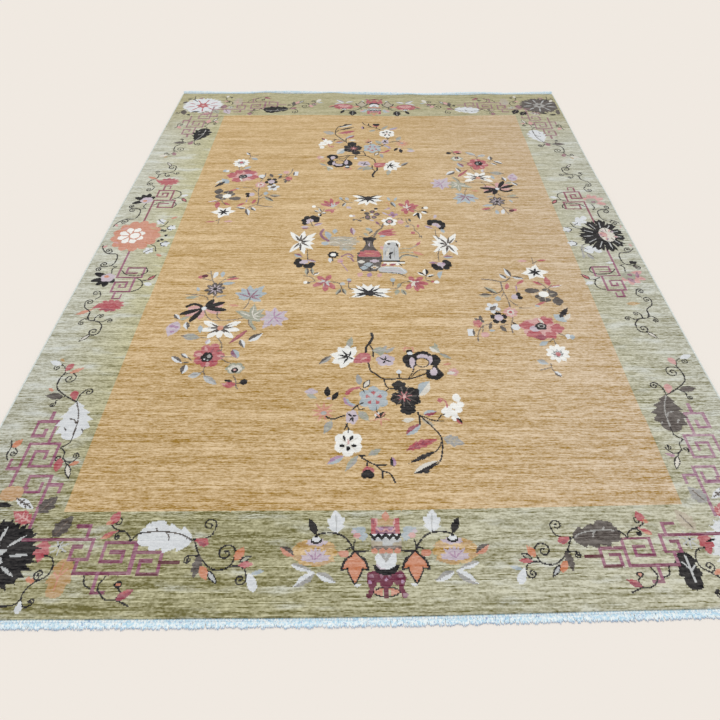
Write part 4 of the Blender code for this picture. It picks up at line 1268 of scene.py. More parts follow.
# the censer in the middle of an end, from its feet up
endCentre = """
disc black 4.8 -176.4 4.2 1.6
disc coral 4.8 -176.4 3.7 1.1
panel green 3.4 -175.6 6 -175.6 6 -177.4 3.4 -177.4
scallop censer .6 -172.4 2 2.6 5 .2
scallop censer 4.7 -172.6 2.7 2.6 6 .16
scallop censer 8.9 -172.4 2 2.6 5 .2
panel censer 1.2 -170.4 8.2 -170.4 7.4 -172 2 -172
stem censer 1.5 4.7 -174 4.7 -177.6
stem censer 1.5 -.2 -173.6 .3 -175.4 -.4 -177.4
stem censer 1.5 9.8 -173.6 9.3 -175.4 10.2 -177.4
disc plum .3 -171.6 .9 .7
disc plum 3.4 -171.6 .6 .8
disc plum 6 -171.6 .6 .8
disc plum 9.2 -171.6 .9 .7
dots mauve .5 -.2 -173.4 4.7 -172.8 9.8 -173.4
disc wine -.6 -177.4 .9 .7
disc wine 4.7 -177.6 .8 .6
disc plum 10.4 -177.4 .9 .7
turned black 4.95 -171.4 1.2 -170.4 3.2 -168.2 4.3
turned white 4.95 -169.8 .6 -168.6 2.6 -166.4 3.4 -164.6 3.2
panel grey 2.8 -164.6 3.4 -165.4 4.9 -167.6 6.4 -165.4 6.8 -164.6
panel silver 4 -164.6 4.9 -166.2 5.8 -164.6
stem lilac .5 1.9 -168 3 -169.2 4.6 -169.6
panel silver .2 -162.6 9.9 -162.6 9.9 -159.4 .2 -159.4
panel cloud .2 -162.6 4 -162.6 4 -160.8 .2 -160.4
panel cloud 7 -162.4 9.9 -162.2 9.9 -160.8 7.4 -161.2
panel bark .3 -163.6 9.9 -163.6 9.9 -162.2 .3 -162.2
disc coral 1.4 -163.9 1.1 .9
disc coral 3.8 -163.9 1.1 .9
disc coral 6.2 -163.9 1.1 .9
disc coral 8.6 -163.9 1.1 .9
panel rose .2 -158.6 .2 -153 2 -153 2 -158.6
panel rose 8 -158.6 8 -153 9.8 -153 9.8 -158.6
panel plum 1.6 -158.4 1.9 -155.6 8.1 -155.6 8.4 -158.4
scallop mauve 3.4 -156.6 1.1 .7 4 .3
scallop mauve 6.8 -156.6 1.1 .7 4 .3
stem blush .45 2 -156.2 3 -157.2 4.2 -157.4 5.2 -156.6 6.2 -157.4 7.4 -157.2 8 -156.2
panel deepRose .4 -154.6 .4 -153.4 1.6 -153.4 1.4 -155
panel amber 2.4 -155.2 7.8 -155.2 7.8 -153.4 6.4 -152.9 3.8 -152.9 2.4 -153.4
blade coral 5.1 -153.8 5.2 -150.4 2.6
stem blush .45 2.1 -153 2.3 -155
stem blush .45 8 -153 7.8 -155
panel white .4 -159.8 .4 -158.4 9.7 -158.4 9.7 -159.8
zigzag black .9 .2 9.8 -158.4 -159.8 4
"""

# what stands beside the censer: peony, crown leaf and hanging leaf
endFlank = """
scallop peony -17.6 -164.2 7.4 4.6 9 .16
blade peony -25.2 -163.8 -18 -163.4 4.4
blade peonyDeep -25 -165.4 -12 -166.6 2
blade peonyDeep -23.8 -161.2 -19 -162 1.3
blade peonyDeep -16 -162.4 -10.4 -162.2 1
blade peonyDeep -18.4 -168.2 -10.8 -166.8 1.2
star lilac petal 1.15 -17.4 -166.6 -22 -165 -20.6 -163.4 -18.9 -162.8 -17.3 -162.4 -15.7 -162.8 -14 -163.4
-12.4 -165
stem lilac .9 -21.2 -166.2 -17.4 -166.9 -13.4 -166.2
star mauve spear .5 -17.4 -166.4 -19.8 -164.2 -17.4 -163.6 -15 -164.2
scallop lilac -17 -160.8 3.6 1.3 5 .3
disc black -17.2 -160.3 1.9 1.1
disc white -17.2 -159.8 1.4 .9
disc black -17.2 -158.9 .6 .4
blade black -17.3 -158.4 -19.8 -152.8 2.6
blade crownLeaf -10.8 -158 -11.4 -149.8 6 leaf 0 3
stem crownVein .3 -10.9 -157 -11 -154 -11.2 -151.6
stem ink .6 -17.2 -158.6 -15 -157.8 -11 -157.9 -8 -159.4 -5.6 -162.4 -4.8 -163.8 -.8 -163.8
stem ink .5 -5.4 -162.4 -4.8 -160.2
stem ink .5 -7.8 -163.6 -6.4 -162.8 -5.4 -163
blade ink -4.8 -163.4 -4.8 -174.6 5.4
star ink leaf 3.2 -4.8 -165 -9.4 -170.2 -.2 -170.2
blade orange -4.8 -164.2 -4.8 -173.6 4.4
star orange leaf 2.2 -4.8 -165.6 -8.5 -169.5 -1.1 -169.5
blade sky -5.8 -156 -1.4 -160.6 2.8
disc sky -3.2 -156.8 1.9 1.2
disc sky -2 -158.8 1.4 1
disc blush -4.2 -158.7 1.2 .9
disc lilac -5.2 -157.4 .8 .6
disc coral -8.3 -164.6 1.7 1.2
split coral umber -24 -165.2 -28.6 -162.2 2.8
split grey white -24.8 -167.8 -17.6 -170.2 2
split grey white -17.2 -170.5 -23.6 -174.8 2.8
split grey white -16.6 -170.6 -10.6 -173.4 2.6
blade white -5 -174.6 -2.6 -174 1
"""
print("motif tables ready")

# the ground first, then the motifs from the field outwards
pen.update(flipX=1, flipY=1, x=0.0, y=0.0, swap={})
knots[:] = dyeNumber("green")
panel("gold", *((100 * x, 100 * y) for x, y in chart["field"]))

# each spray stands once as drawn and once turned round, a little shifted
for spray, shift in ((sprayWest, (1.4, -1.0)), (sprayEast, (1.8, -0.2)), (sprayNear, (5.0, -3.0))):
    weave(spray)
    weave(spray, -1, -1, *shift)
weave(medallion)

whiteLeaf = {"bigLeaf": "white", "bigVein": "umber", "goldLeaf": "amber", "goldVein": "coral"}
darkLeaf = {"bigLeaf": "umber", "bigVein": "grey", "goldLeaf": "black", "goldVein": "silver"}
blackLeaf = {"bigLeaf": "black", "bigVein": "grey", "goldLeaf": "cloud", "goldVein": "blush"}
lotusDyes = (
    {"lotus": "black", "lotusVein": "silver", "lotusHeart": "silver"},
    {"lotus": "white", "lotusVein": "sky", "lotusHeart": "cloud"},
    {"lotus": "white", "lotusVein": "rose", "lotusHeart": "rose"},
    {"lotus": "umber", "lotusVein": "silver", "lotusHeart": "grey"},
)
farDyes = dict.fromkeys(("fret", "fretRow", "fretSide", "fretDeep", "rose"), "fretFar")
farDyes |= {"orange": "blush", "apricot": "green", "coral": "green", "white": "cream", "sideBud": "blush"}
# near left, near right, far left, far right: the turn, the place of the corner, the end arm's turn and
# place, the side arm's place, the dyes of the leaves, of the whole quarter and of its side arm alone
quarters = (
    ((1, 1), (0, 0), (1, 1, 0, 0), (0, 0), whiteLeaf,
     {"cornerLeaf": "umber", "sideLeaf": "umber"}, {"fretSide": "fret", "sideBud": "rose"}),
    ((-1, 1), (3.7, -0.5), (-0.9, 0.88, 13.8, -20.2), (3.9, 0.8), darkLeaf,
     {"cornerLeaf": "cloud", "sideLeaf": "grey"},
     {"fretSide": "fretPale", "orange": "fretPale", "rose": "blush", "sideBud": "green", "coral": "green",
      "amber": "green"}),
    ((1, -1), (0, -2.4), (1, -1, 0, -3.0), (0, 5.0), blackLeaf,
     farDyes | {"cornerLeaf": "lilac", "sideLeaf": "sage"}, {}),
    ((-1, -1), (4.6, -1.8), (-1, -1, 4.6, -1.8), (1.8, 3.0),
     whiteLeaf | {"goldLeaf": "cloud", "goldVein": "grey"},
     farDyes | {"cornerLeaf": "black", "sideLeaf": "black", "blush": "umber"}, {}),
)
for (turn, cornerShift, endPlace, sideShift, leafDyes, ownDyes, sideDyes), lotus in zip(quarters, lotusDyes):
    weave(corner, *turn, *cornerShift, leafDyes | ownDyes | lotus)
    weave(endArm, *endPlace, leafDyes | ownDyes)
    weave(sideArm, *turn, *sideShift, leafDyes | ownDyes | sideDyes)

leftFlower = {"sideRose": "rose", "sideRoseDeep": "deepRose", "bloomDark": "black", "bloomPale": "lilac",
              "bloomEye": "orange"}
rightFlower = {"sideRose": "green", "sideRoseDeep": "green", "bloomDark": "blush", "bloomPale": "sage",
               "bloomEye": "plum", "coral": "green"}
farHalf = {"fret": "fretRose", "fretRow": "fretRose", "fretDeep": "fretRose"}
weave(sideCentre, 1, 1, 0, 0, leftFlower)
weave(sideCentre, 1, -1, 0, 8.6, leftFlower | farHalf)
weave(sideCentre, -1, 1, 1.4, -0.6, rightFlower)
weave(sideCentre, -1, -1, 1.8, 6.2, rightFlower | farHalf)
weave(roundPeony)
weave(sideAster)

nearPeony = {"peony": "gold", "peonyDeep": "amber", "crownLeaf": "white", "crownVein": "silver",
             "censer": "garnet"}
farPeony = {"peony": "rose", "peonyDeep": "deepRose", "crownLeaf": "black", "crownVein": "grey",
            "censer": "rose", "lilac": "blush", "mauve": "rose", "orange": "cloud"}
for turnedRound, shift, inward, swap in ((1, 0, 0, nearPeony), (-1, 9.2, -3.0, farPeony)):
    weave(endCentre, turnedRound, turnedRound, shift, inward, swap)
    weave(endFlank, turnedRound, turnedRound, shift, inward, swap)
    weave(endFlank, -turnedRound, turnedRound, 9.3 - shift, inward, swap)
print("motifs woven")

# hand-knotted edges are a little ragged
stray = random.Random(chart["seed"])
woven = knots.copy()
inner = woven[1:-1, 1:-1]
for row, column in zip(*np.nonzero((inner != woven[1:-1, 2:]) | (inner != woven[2:, 1:-1]))):
    if stray.random() < chart["ragged"]:
        towards = stray.choice(((0, 1), (1, 0), (0, -1), (-1, 0)))
        knots[row + 1, column + 1] = woven[row + 1 + towards[0], column + 1 + towards[1]]
# a plain edge all round, where the pile meets the selvedge and the ends
for edge in (knots[:3], knots[-3:], knots[:, :3], knots[:, -3:]):
    edge[:] = dyeNames.index("green")
print("knot chart ready:", int((knots != knots[0, 0]).sum()), "coloured knots")


def linear(colour):
    colour = np.asarray(colour, float) / 255
    return np.where(colour <= 0.04045, colour / 12.92, ((colour + 0.055) / 1.055) ** 2.4)


# the pile is cut into patches, each triangulated along its own dye lines, with a vertex only where a
# line turns
def activeCorners():
    south, north = knots[:-1], knots[1:]
    across = south[:, :-1] != south[:, 1:]
    acrossNorth = north[:, :-1] != north[:, 1:]
    along = south[:, :-1] != north[:, :-1]
    alongEast = south[:, 1:] != north[:, 1:]
    met = across | acrossNorth | along | alongEast
    straight = (across & acrossNorth & ~along & ~alongEast) | (along & alongEast & ~across & ~acrossNorth)
    size = chart["block"]
    active = np.zeros((knotsAlong + 1, knotsAcross + 1), bool)
    active[1:-1, 1:-1] = met & ~straight
    active[size:-1:size, 1:-1] |= met[size - 1::size]
    active[1:-1, size:-1:size] |= met[:, size - 1::size]
    active[::size, ::size] = True
    return active


def lineEdges(active, cells, toNumber):
    # runs between corners along each row of corners, kept where the dye changes or at the patch's rim
    edges = []
    for i, row in enumerate(active):
        places = np.flatnonzero(row)
        atRim = i in (0, len(active) - 1)
        for start, end in zip(places, places[1:]):
            if atRim or cells[i - 1, start] != cells[i, start]:
                edges.append((toNumber(i, start), toNumber(i, end)))
    return edges


def patchFaces(active, cells):
    rows, columns = np.nonzero(active)
    numbers = -np.ones(active.shape, int)
    numbers[rows, columns] = range(len(rows))
    if len(rows) == 4:
        return rows, columns, [(0, 1, 3, 2)]
    edges = lineEdges(active, cells, lambda i, j: int(numbers[i, j]))
    edges += lineEdges(active.T, cells.T, lambda i, j: int(numbers[j, i]))
    points = [(float(column), float(row)) for row, column in zip(rows, columns)]
    made = geometry.delaunay_2d_cdt(points, edges, [], 0, 1e-6)
    cornerOf = [origins[0] for origins in made[3]]
    faces = []
    for a, b, c in made[2]:
        a, b, c = cornerOf[a], cornerOf[b], cornerOf[c]
        turn = (points[b][0] - points[a][0]) * (points[c][1] - points[a][1])
        turn -= (points[c][0] - points[a][0]) * (points[b][1] - points[a][1])
        faces.append((a, b, c) if turn > 0 else (a, c, b))
    return rows, columns, faces


size = chart["block"]
active = activeCorners()
cornerRows, cornerColumns = np.nonzero(active)
cornerNumbers = -np.ones(active.shape, int)
cornerNumbers[cornerRows, cornerColumns] = range(len(cornerRows))
pileFaces = []
faceDyes = []
for row in range(0, knotsAlong, size):
    for column in range(0, knotsAcross, size):
        window = (slice(row, row + size + 1), slice(column, column + size + 1))
        cells = knots[row:row + size, column:column + size]
        rows, columns, faces = patchFaces(active[window], cells)
        numbers = cornerNumbers[row + rows, column + columns]
        for face in faces:
            middleRow = int(rows[list(face)].mean())
            middleColumn = int(columns[list(face)].mean())
            pileFaces.append([int(numbers[i]) for i in face])
            faceDyes.append(int(cells[middleRow, middleColumn]))
print("pile patches ready:", len(pileFaces), "faces")

edgeShape = {
    "inset": 0.003,  # of the pile's flat top
    "skirt": ((0.0018, 0.0087), (0.0006, 0.0076), (0.0, 0.0060), (0.0, 0.0016), (0.0008, 0.0004)),
    "underInset": 0.0022,
    "under": 0.0,
}


def clothRing(across, along, inset, height):
    x, y = planPoint(across, along, inset)
    return np.c_[x, y, clothLift(across, along) + height]


across, along = cornerColumns / knotsAcross, cornerRows / knotsAlong
vertices = [clothRing(across, along, edgeShape["inset"], rugPlan["thickness"])]
blocksAcross, blocksAlong = knotsAcross // size, knotsAlong // size
rim = [(0, i) for i in range(blocksAcross)] + [(i, blocksAcross) for i in range(blocksAlong)]
rim += [(blocksAlong, i) for i in range(blocksAcross, 0, -1)] + [(i, 0) for i in range(blocksAlong, 0, -1)]
rimRows, rimColumns = np.array(rim).T
rings = [cornerNumbers[rimRows * size, rimColumns * size]]
count = len(cornerRows)
for inset, height in edgeShape["skirt"]:
    vertices.append(clothRing(rimColumns / blocksAcross, rimRows / blocksAlong, inset, height))
    rings.append(np.arange(count, count + len(rim)))
    count += len(rim)
gridAlong, gridAcross = np.mgrid[0:blocksAlong + 1, 0:blocksAcross + 1]
under = clothRing(gridAcross.ravel() / blocksAcross, gridAlong.ravel() / blocksAlong,
                  edgeShape["underInset"], edgeShape["under"])
vertices.append(under)
underNumbers = np.arange(count, count + len(under)).reshape(gridAlong.shape)
rings.append(underNumbers[rimRows, rimColumns])
skirtFaces = []
for upper, lower in zip(rings, rings[1:]):
    skirtFaces += np.c_[np.roll(upper, -1), upper, lower, np.roll(lower, -1)].tolist()
lowRows, highRows = underNumbers[:-1], underNumbers[1:]
underFaces = np.stack([highRows[:, :-1], highRows[:, 1:], lowRows[:, 1:], lowRows[:, :-1]], axis=-1)
underFaces = underFaces.reshape(-1, 4).tolist()
vertices = np.vstack(vertices)

pileMesh = bpy.data.meshes.new("woolPile")
pileMesh.from_pydata(vertices.tolist(), [], pileFaces + skirtFaces + underFaces)
pileMesh.shade_smooth()
pile = bpy.data.objects.new("woolPile", pileMesh)
bpy.context.scene.collection.objects.link(pile)

# each face has its dye, and how the yarn there takes the pale wool, its ground and its side
dyeColours = np.array([linear(colour) for colour, take in dyes.values()])
dyeTakes = np.array([take for colour, take in dyes.values()])
plain = dyeNames.index("green")
faceDyes = np.array(faceDyes + [plain] * (len(skirtFaces) + len(underFaces)))
yarn = np.zeros((len(faceDyes), 3))
yarn[:, 0] = dyeTakes[faceDyes]
yarn[:, 1] = faceDyes == plain
yarn[len(pileFaces) + len(skirtFaces):, 2] = 1.0
for name, values in (("dye", dyeColours[faceDyes]), ("yarn", yarn)):
    layer = pileMesh.attributes.new(name, "FLOAT_VECTOR", "FACE")
    layer.data.foreach_set("vector", values.astype(np.float32).ravel())

# the pile's top turns sharply down at its rim, so that the light falls on it as on a flat cloth
isRim = np.zeros(len(vertices), bool)
isRim[rings[0]] = True
edgeEnds = np.zeros(2 * len(pileMesh.edges), np.int32)
pileMesh.edges.foreach_get("vertices", edgeEnds)
sharp = pileMesh.attributes.new("sharp_edge", "BOOLEAN", "EDGE")
sharp.data.foreach_set("value", isRim[edgeEnds.reshape(-1, 2)].all(axis=1))

# one flat map: the top as it lies, the edges and the underside small beside it
flatPlan = {
    "scale": 3.7,
    "margin": 0.002,
    "skirt": (0.77, 0.03, 0.36, 0.62),  # place and width of its bands, start and length
    "under": (0.99, 0.01, 0.08),  # place across and along, scale
}
corner = vertices[:, :2] - vertices[:, :2].min(axis=0)
flatTop = flatPlan["margin"] + corner / flatPlan["scale"]
spots = [flatTop[i] for face in pileFaces for i in face]
bandPlace, bandWidth, bandStart, bandLength = flatPlan["skirt"]
for ringNumber in range(len(rings) - 1):
    left = bandPlace + bandWidth * ringNumber
    for i in range(len(rim)):
        low, high = bandStart + bandLength * i / len(rim), bandStart + bandLength * (i + 1) / len(rim)
        spots += [(left, high), (left, low), (left + bandWidth, low), (left + bandWidth, high)]
underAcross, underAlong, underScale = flatPlan["under"]
flatUnder = np.c_[underAcross - underScale * corner[:, 0], underAlong + underScale * corner[:, 1]]
spots += [flatUnder[i] for face in underFaces for i in face]
flatMap = pileMesh.uv_layers.new(name="OFBake")
flatMap.data.foreach_set("uv", np.array(spots, np.float32).ravel())
print("wool pile ready:", len(vertices), "vertices")

# what all three yarns share
yarnFinish = {"specular": 0.15, "sheenRoughness": 0.5}


def newMaterial(name, sheen, roughness):
    material = bpy.data.materials.new(name)
    material.use_nodes = True
    shader = material.node_tree.nodes["Principled BSDF"]
    shader.inputs["Roughness"].default_value = roughness
    shader.inputs["Specular IOR Level"].default_value = yarnFinish["specular"]
    shader.inputs["Sheen Weight"].default_value = sheen
    shader.inputs["Sheen Roughness"].default_value = yarnFinish["sheenRoughness"]
    return material, shader


def nodeTools(material):
    tree = material.node_tree

    def add(kind, inputs, **settings):
        node = tree.nodes.new("ShaderNode" + kind)
        for key, value in settings.items():
            setattr(node, key, value)
        for key, value in inputs.items():
            if isinstance(value, bpy.types.NodeSocket):
                tree.links.new(value, node.inputs[key])
            else:
                node.inputs[key].default_value = value
        return node

    def maths(operation, a, b=0.0, c=0.0):
        return add("Math", {0: a, 1: b, 2: c}, operation=operation).outputs[0]

    def ramp(value, low, high):
        return add("MapRange", {0: value, 1: low, 2: high}).outputs[0]

    def noise(place, scale, detail):
        return add("TexNoise", {"Vector": place, "Scale": scale, "Detail": detail}).outputs["Fac"]

    def mix(share, first, second):
        return add("Mix", {0: share, 2: first, 3: second}).outputs[0]

    def colourMix(share, *colours):
        first, second = (c if isinstance(c, bpy.types.NodeSocket) else (*c, 1) for c in colours)
        return add("Mix", {0: share, 6: first, 7: second}, data_type="RGBA").outputs[2]

    return add, maths, ramp, noise, mix, colourMix


def joinNodes(material, fromSocket, toSocket):
    material.node_tree.links.new(fromSocket, toSocket)


woolLook = {
    "rowPitch": 0.00357,
    # dashes along the rows: length, row shift, strength
    "dashes": ((0.009, 5.3, 0.42), (0.018, 3.1, 0.55), (0.050, 1.7, 0.60), (0.16, 0.9, 0.52),
               (0.60, 0.37, 0.45)),
    "bands": (1.1, 0.045, 0.35),  # slow changes of dye lot: length, width, strength
    "share": 0.45,
    "spread": 2.3,
    "paleFieldLeft": (0.767, 0.586, 0.365),
    "paleFieldRight": (0.725, 0.600, 0.460),
    "paleBorderLeft": (0.63, 0.605, 0.40),
    "paleBorderRight": (0.64, 0.630, 0.50),
    "paleOutward": (0.655, 0.665, 0.585),  # towards the side edges
    "paleFar": (0.60, 0.56, 0.37),
    "paleMotif": (0.70, 0.66, 0.62),
    # partly uneven dye lots, partly painted shade: share of pale wool added from the near end to the far end,
    # mostly less at the near end so that it is painted darker: place along, amount
    "borderAbrashAndShadeLeft": ((-1.9, -0.08), (-1.5, -0.05), (-1.1, 0.17), (0.9, 0.27), (1.5, 0.18), (1.9, 0.18)),
    "borderAbrashAndShadeRight": ((-1.9, 0.17), (-1.5, 0.20), (-1.1, 0.17), (0.9, 0.24), (1.5, 0.18), (1.9, 0.18)),
    "fieldAbrashAndShadeLeft": ((-1.5, 0.06), (-0.9, 0.08), (0.0, 0.10), (1.5, 0.10)),
    "fieldAbrashAndShadeRight": ((-1.5, 0.13), (-0.9, 0.13), (0.0, 0.12), (1.5, 0.10)),
    "calm": ((-1.9, 1.0), (-1.0, 0.9), (0.0, 0.72), (1.9, 0.62)),  # streaks look softer further off
    # painted light and shade: how bright the left and the right side are painted from the near end to the far
    # end
    "leftPaintedLight": ((-1.9, 0.98), (-1.2, 0.99), (-0.2, 1.07), (1.9, 1.06)),
    "rightPaintedLight": ((-1.9, 1.03), (-1.2, 1.05), (0.0, 1.04), (1.9, 1.00)),
    "back": (0.50, 0.47, 0.38),
    "tuftTone": 0.10,
    "motifTone": 0.55,  # how much the rows show in the motifs
    # cool pale patches on the border and more faintly on the field, none at the far end: length, width, from
    # and to of the noise, strength, added paleness
    "palePatch": (0.17, 0.050, 0.52, 0.70, 0.65, 0.30),
    "palePatchColour": (0.62, 0.65, 0.63),
    "fieldPatches": 0.55,  # how much of it the field has
    "tuftRandomness": 0.35,
    "tuftRound": 1.2,
    "specular": 0.05,
    "bump": 0.55,
    "bumpHeight": 0.0009,
    # where one pale tone gives way to the next, in metres from the rug's middle
    "sides": (-1.0, 1.0),
    "halves": (-0.35, 0.5),
    "rightThird": (0.1, 1.0),
    "outward": (1.03, 1.33),
    "farEnd": (1.1, 1.6),
    "groundTake": 0.9,  # yarn that takes more pale wool than this is ground
}

wool, woolShader = newMaterial("hand-knotted wool", 0.05, 0.95)
woolShader.inputs["Specular IOR Level"].default_value = woolLook["specular"]
add, maths, ramp, noise, mix, colourMix = nodeTools(wool)


def alongRug(stops):
    # a value that changes along the rug, through the stops
    low, high = stops[0][0], stops[-1][0]
    least, most = min(value for place, value in stops), max(value for place, value in stops)
    share = maths("DIVIDE", maths("SUBTRACT", alongY, low), high - low)
    curve = add("FloatCurve", {"Value": share})
    line = curve.mapping.curves[0]
    for place, value in stops[1:-1]:
        line.points.new((place - low) / (high - low), (value - least) / (most - least))
    for point, (place, value) in zip(line.points, stops):
        point.location = ((place - low) / (high - low), (value - least) / (most - least))
    curve.mapping.update()
    return maths("MULTIPLY_ADD", curve.outputs[0], most - least, least)


place = add("TexCoord", {}).outputs["Object"]
alongX, alongY, _ = add("SeparateXYZ", {0: place}).outputs
dye = add("Attribute", {}, attribute_name="dye").outputs["Vector"]
yarnFacts = add("Attribute", {}, attribute_name="yarn").outputs["Vector"]
take, onBorder, below = add("SeparateXYZ", {0: yarnFacts}).outputs
onGround = maths("GREATER_THAN", take, woolLook["groundTake"])
rightward = ramp(alongX, *woolLook["sides"])
rightHalf = ramp(alongX, *woolLook["halves"])
rightThird = ramp(alongX, *woolLook["rightThird"])
outward = ramp(maths("ABSOLUTE", alongX), *woolLook["outward"])
farEnd = ramp(alongY, *woolLook["farEnd"])


def woolSpot(length, width):
    # places on the rug, drawn out along the rows
    parts = {0: maths("DIVIDE", alongX, length), 1: maths("DIVIDE", alongY, width)}
    return add("CombineXYZ", parts).outputs[0]


# dashes of paler wool run along the rows of knots
rowNumber = maths("FLOOR", maths("DIVIDE", alongY, woolLook["rowPitch"]))
streak = 0.0
for length, shift, strength in woolLook["dashes"]:
    spot = add("CombineXYZ", {0: maths("DIVIDE", alongX, length), 1: maths("MULTIPLY", rowNumber, shift),
                              2: length * 100}).outputs[0]
    dash = maths("SUBTRACT", noise(spot, 1.0, 1.0), 0.5)
    streak = maths("MULTIPLY_ADD", dash, strength, streak)
length, width, strength = woolLook["bands"]
band = maths("SUBTRACT", noise(woolSpot(length, width), 1.0, 2.0), 0.5)
streak = maths("MULTIPLY_ADD", band, strength, streak)
# partly dye lots, partly painted shade: mostly less pale wool at the near end, which paints it darker
fieldAbrashAndShade = mix(rightward, alongRug(woolLook["fieldAbrashAndShadeLeft"]), alongRug(woolLook["fieldAbrashAndShadeRight"]))
borderAbrashAndShade = mix(rightHalf, alongRug(woolLook["borderAbrashAndShadeLeft"]), alongRug(woolLook["borderAbrashAndShadeRight"]))
streak = maths("MULTIPLY", streak, alongRug(woolLook["calm"]))
# cool pale patches: noise makes the wool paler and greyer in places, fading out at the far end
length, width, palePatchFrom, palePatchTo, palePatchTint, palePatchShare = woolLook["palePatch"]
palePatchPlaces = maths("MULTIPLY_ADD", onBorder, 1.0 - woolLook["fieldPatches"], woolLook["fieldPatches"])
palePatch = maths("MULTIPLY", ramp(noise(woolSpot(length, width), 1.0, 3.0), palePatchFrom, palePatchTo), palePatchPlaces)
palePatch = maths("MULTIPLY", palePatch, maths("SUBTRACT", 1.0, farEnd))
share = maths("ADD", mix(onBorder, fieldAbrashAndShade, borderAbrashAndShade), woolLook["share"])
share = maths("MULTIPLY_ADD", streak, woolLook["spread"], share)
share = maths("MULTIPLY_ADD", palePatch, palePatchShare, share)
share = add("Clamp", {0: share}).outputs[0]

paleBorder = colourMix(rightHalf, woolLook["paleBorderLeft"], woolLook["paleBorderRight"])
paleBorder = colourMix(outward, paleBorder, woolLook["paleOutward"])
paleBorder = colourMix(farEnd, paleBorder, woolLook["paleFar"])
paleBorder = colourMix(maths("MULTIPLY", palePatch, palePatchTint), paleBorder, woolLook["palePatchColour"])
paleField = colourMix(rightThird, woolLook["paleFieldLeft"], woolLook["paleFieldRight"])
paleGround = colourMix(onBorder, paleField, paleBorder)
pale = colourMix(onGround, woolLook["paleMotif"], paleGround)
woolColour = colourMix(maths("MULTIPLY", share, take), dye, pale)
# every tuft has its own tone and its own rounded head
tuftSpot = woolSpot(woolLook["rowPitch"], woolLook["rowPitch"])
tufts = add("TexVoronoi", {"Vector": tuftSpot, "Scale": 1.0, "Randomness": woolLook["tuftRandomness"]},
            voronoi_dimensions="2D")
tuftTone = add("SeparateColor", {0: tufts.outputs["Color"]}).outputs[0]
tone = maths("MULTIPLY_ADD", maths("SUBTRACT", tuftTone, 0.5), woolLook["tuftTone"], 1.0)
onMotif = maths("MULTIPLY", maths("SUBTRACT", 1.0, onGround), woolLook["motifTone"])
tone = maths("MULTIPLY_ADD", streak, onMotif, tone)
# painted light and shade: the pile's colour is made brighter or darker by place along and across the rug
paintedLightTone = mix(rightward, alongRug(woolLook["leftPaintedLight"]), alongRug(woolLook["rightPaintedLight"]))
toned = add("VectorMath", {0: woolColour}, operation="SCALE")
joinNodes(wool, maths("MULTIPLY", tone, paintedLightTone), toned.inputs["Scale"])
joinNodes(wool, colourMix(below, toned.outputs[0], woolLook["back"]), woolShader.inputs["Base Color"])
height = maths("SUBTRACT", 1.0, maths("MULTIPLY", tufts.outputs["Distance"], woolLook["tuftRound"]))
bump = add("Bump", {"Height": height, "Strength": woolLook["bump"], "Distance": woolLook["bumpHeight"]})
joinNodes(wool, bump.outputs[0], woolShader.inputs["Normal"])
pileMesh.materials.append(wool)
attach(pile, "root")
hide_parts("rug_body")
print("wool ready")

# the overcast side cords: yarn wound round a bundle of warps
overcastYarn = {
    "width": 0.009,
    "height": 0.008,
    "wrap": 0.0045,
    "slant": 0.35,
    "sides": 8,
    "dip": 0.93,
    "toneScale": 0.37,
    "tones": ((0.3, (0.60, 0.63, 0.58)), (0.7, (0.82, 0.88, 0.88))),
    "bump": 0.6,
    "bumpHeight": 0.0008,
}


def tubeFaces(rings, sides, first=0):
    faces = []
    for ring in range(rings - 1):
        for side in range(sides):
            a, b = first + ring * sides + side, first + ring * sides + (side + 1) % sides
            faces.append((a, b, b + sides, a + sides))
    faces.append(tuple(range(first + sides - 1, first - 1, -1)))
    faces.append(tuple(range(first + (rings - 1) * sides, first + rings * sides)))
    return faces


def newPiece(name, points, faces, material):
    mesh = bpy.data.meshes.new(name)
    mesh.from_pydata(np.asarray(points).reshape(-1, 3).tolist(), [], faces)
    mesh.shade_smooth()
    mesh.materials.append(material)
    piece = bpy.data.objects.new(name, mesh)
    bpy.context.scene.collection.objects.link(piece)
    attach(piece, "root")
    return piece


cordWool, cordShader = newMaterial("overcast side wool", 0.15, 0.92)
add, maths, ramp, noise, mix, colourMix = nodeTools(cordWool)
_, cordY, cordZ = add("SeparateXYZ", {0: add("TexCoord", {}).outputs["Object"]}).outputs
wrapPlace = maths("MULTIPLY_ADD", cordZ, overcastYarn["slant"], cordY)
wrapPlace = maths("DIVIDE", wrapPlace, overcastYarn["wrap"])
wrapSpot = add("CombineXYZ", {1: maths("FLOOR", wrapPlace)}).outputs[0]
cordColour = add("ValToRGB", {0: noise(wrapSpot, overcastYarn["toneScale"], 2.0)})
for stop, (at, colour) in zip(cordColour.color_ramp.elements, overcastYarn["tones"]):
    stop.position = at
    stop.color = (*colour, 1)
joinNodes(cordWool, cordColour.outputs[0], cordShader.inputs["Base Color"])
bump = add("Bump", {"Height": maths("PINGPONG", wrapPlace, 0.5), "Strength": overcastYarn["bump"],
                    "Distance": overcastYarn["bumpHeight"]})
joinNodes(cordWool, bump.outputs[0], cordShader.inputs["Normal"])

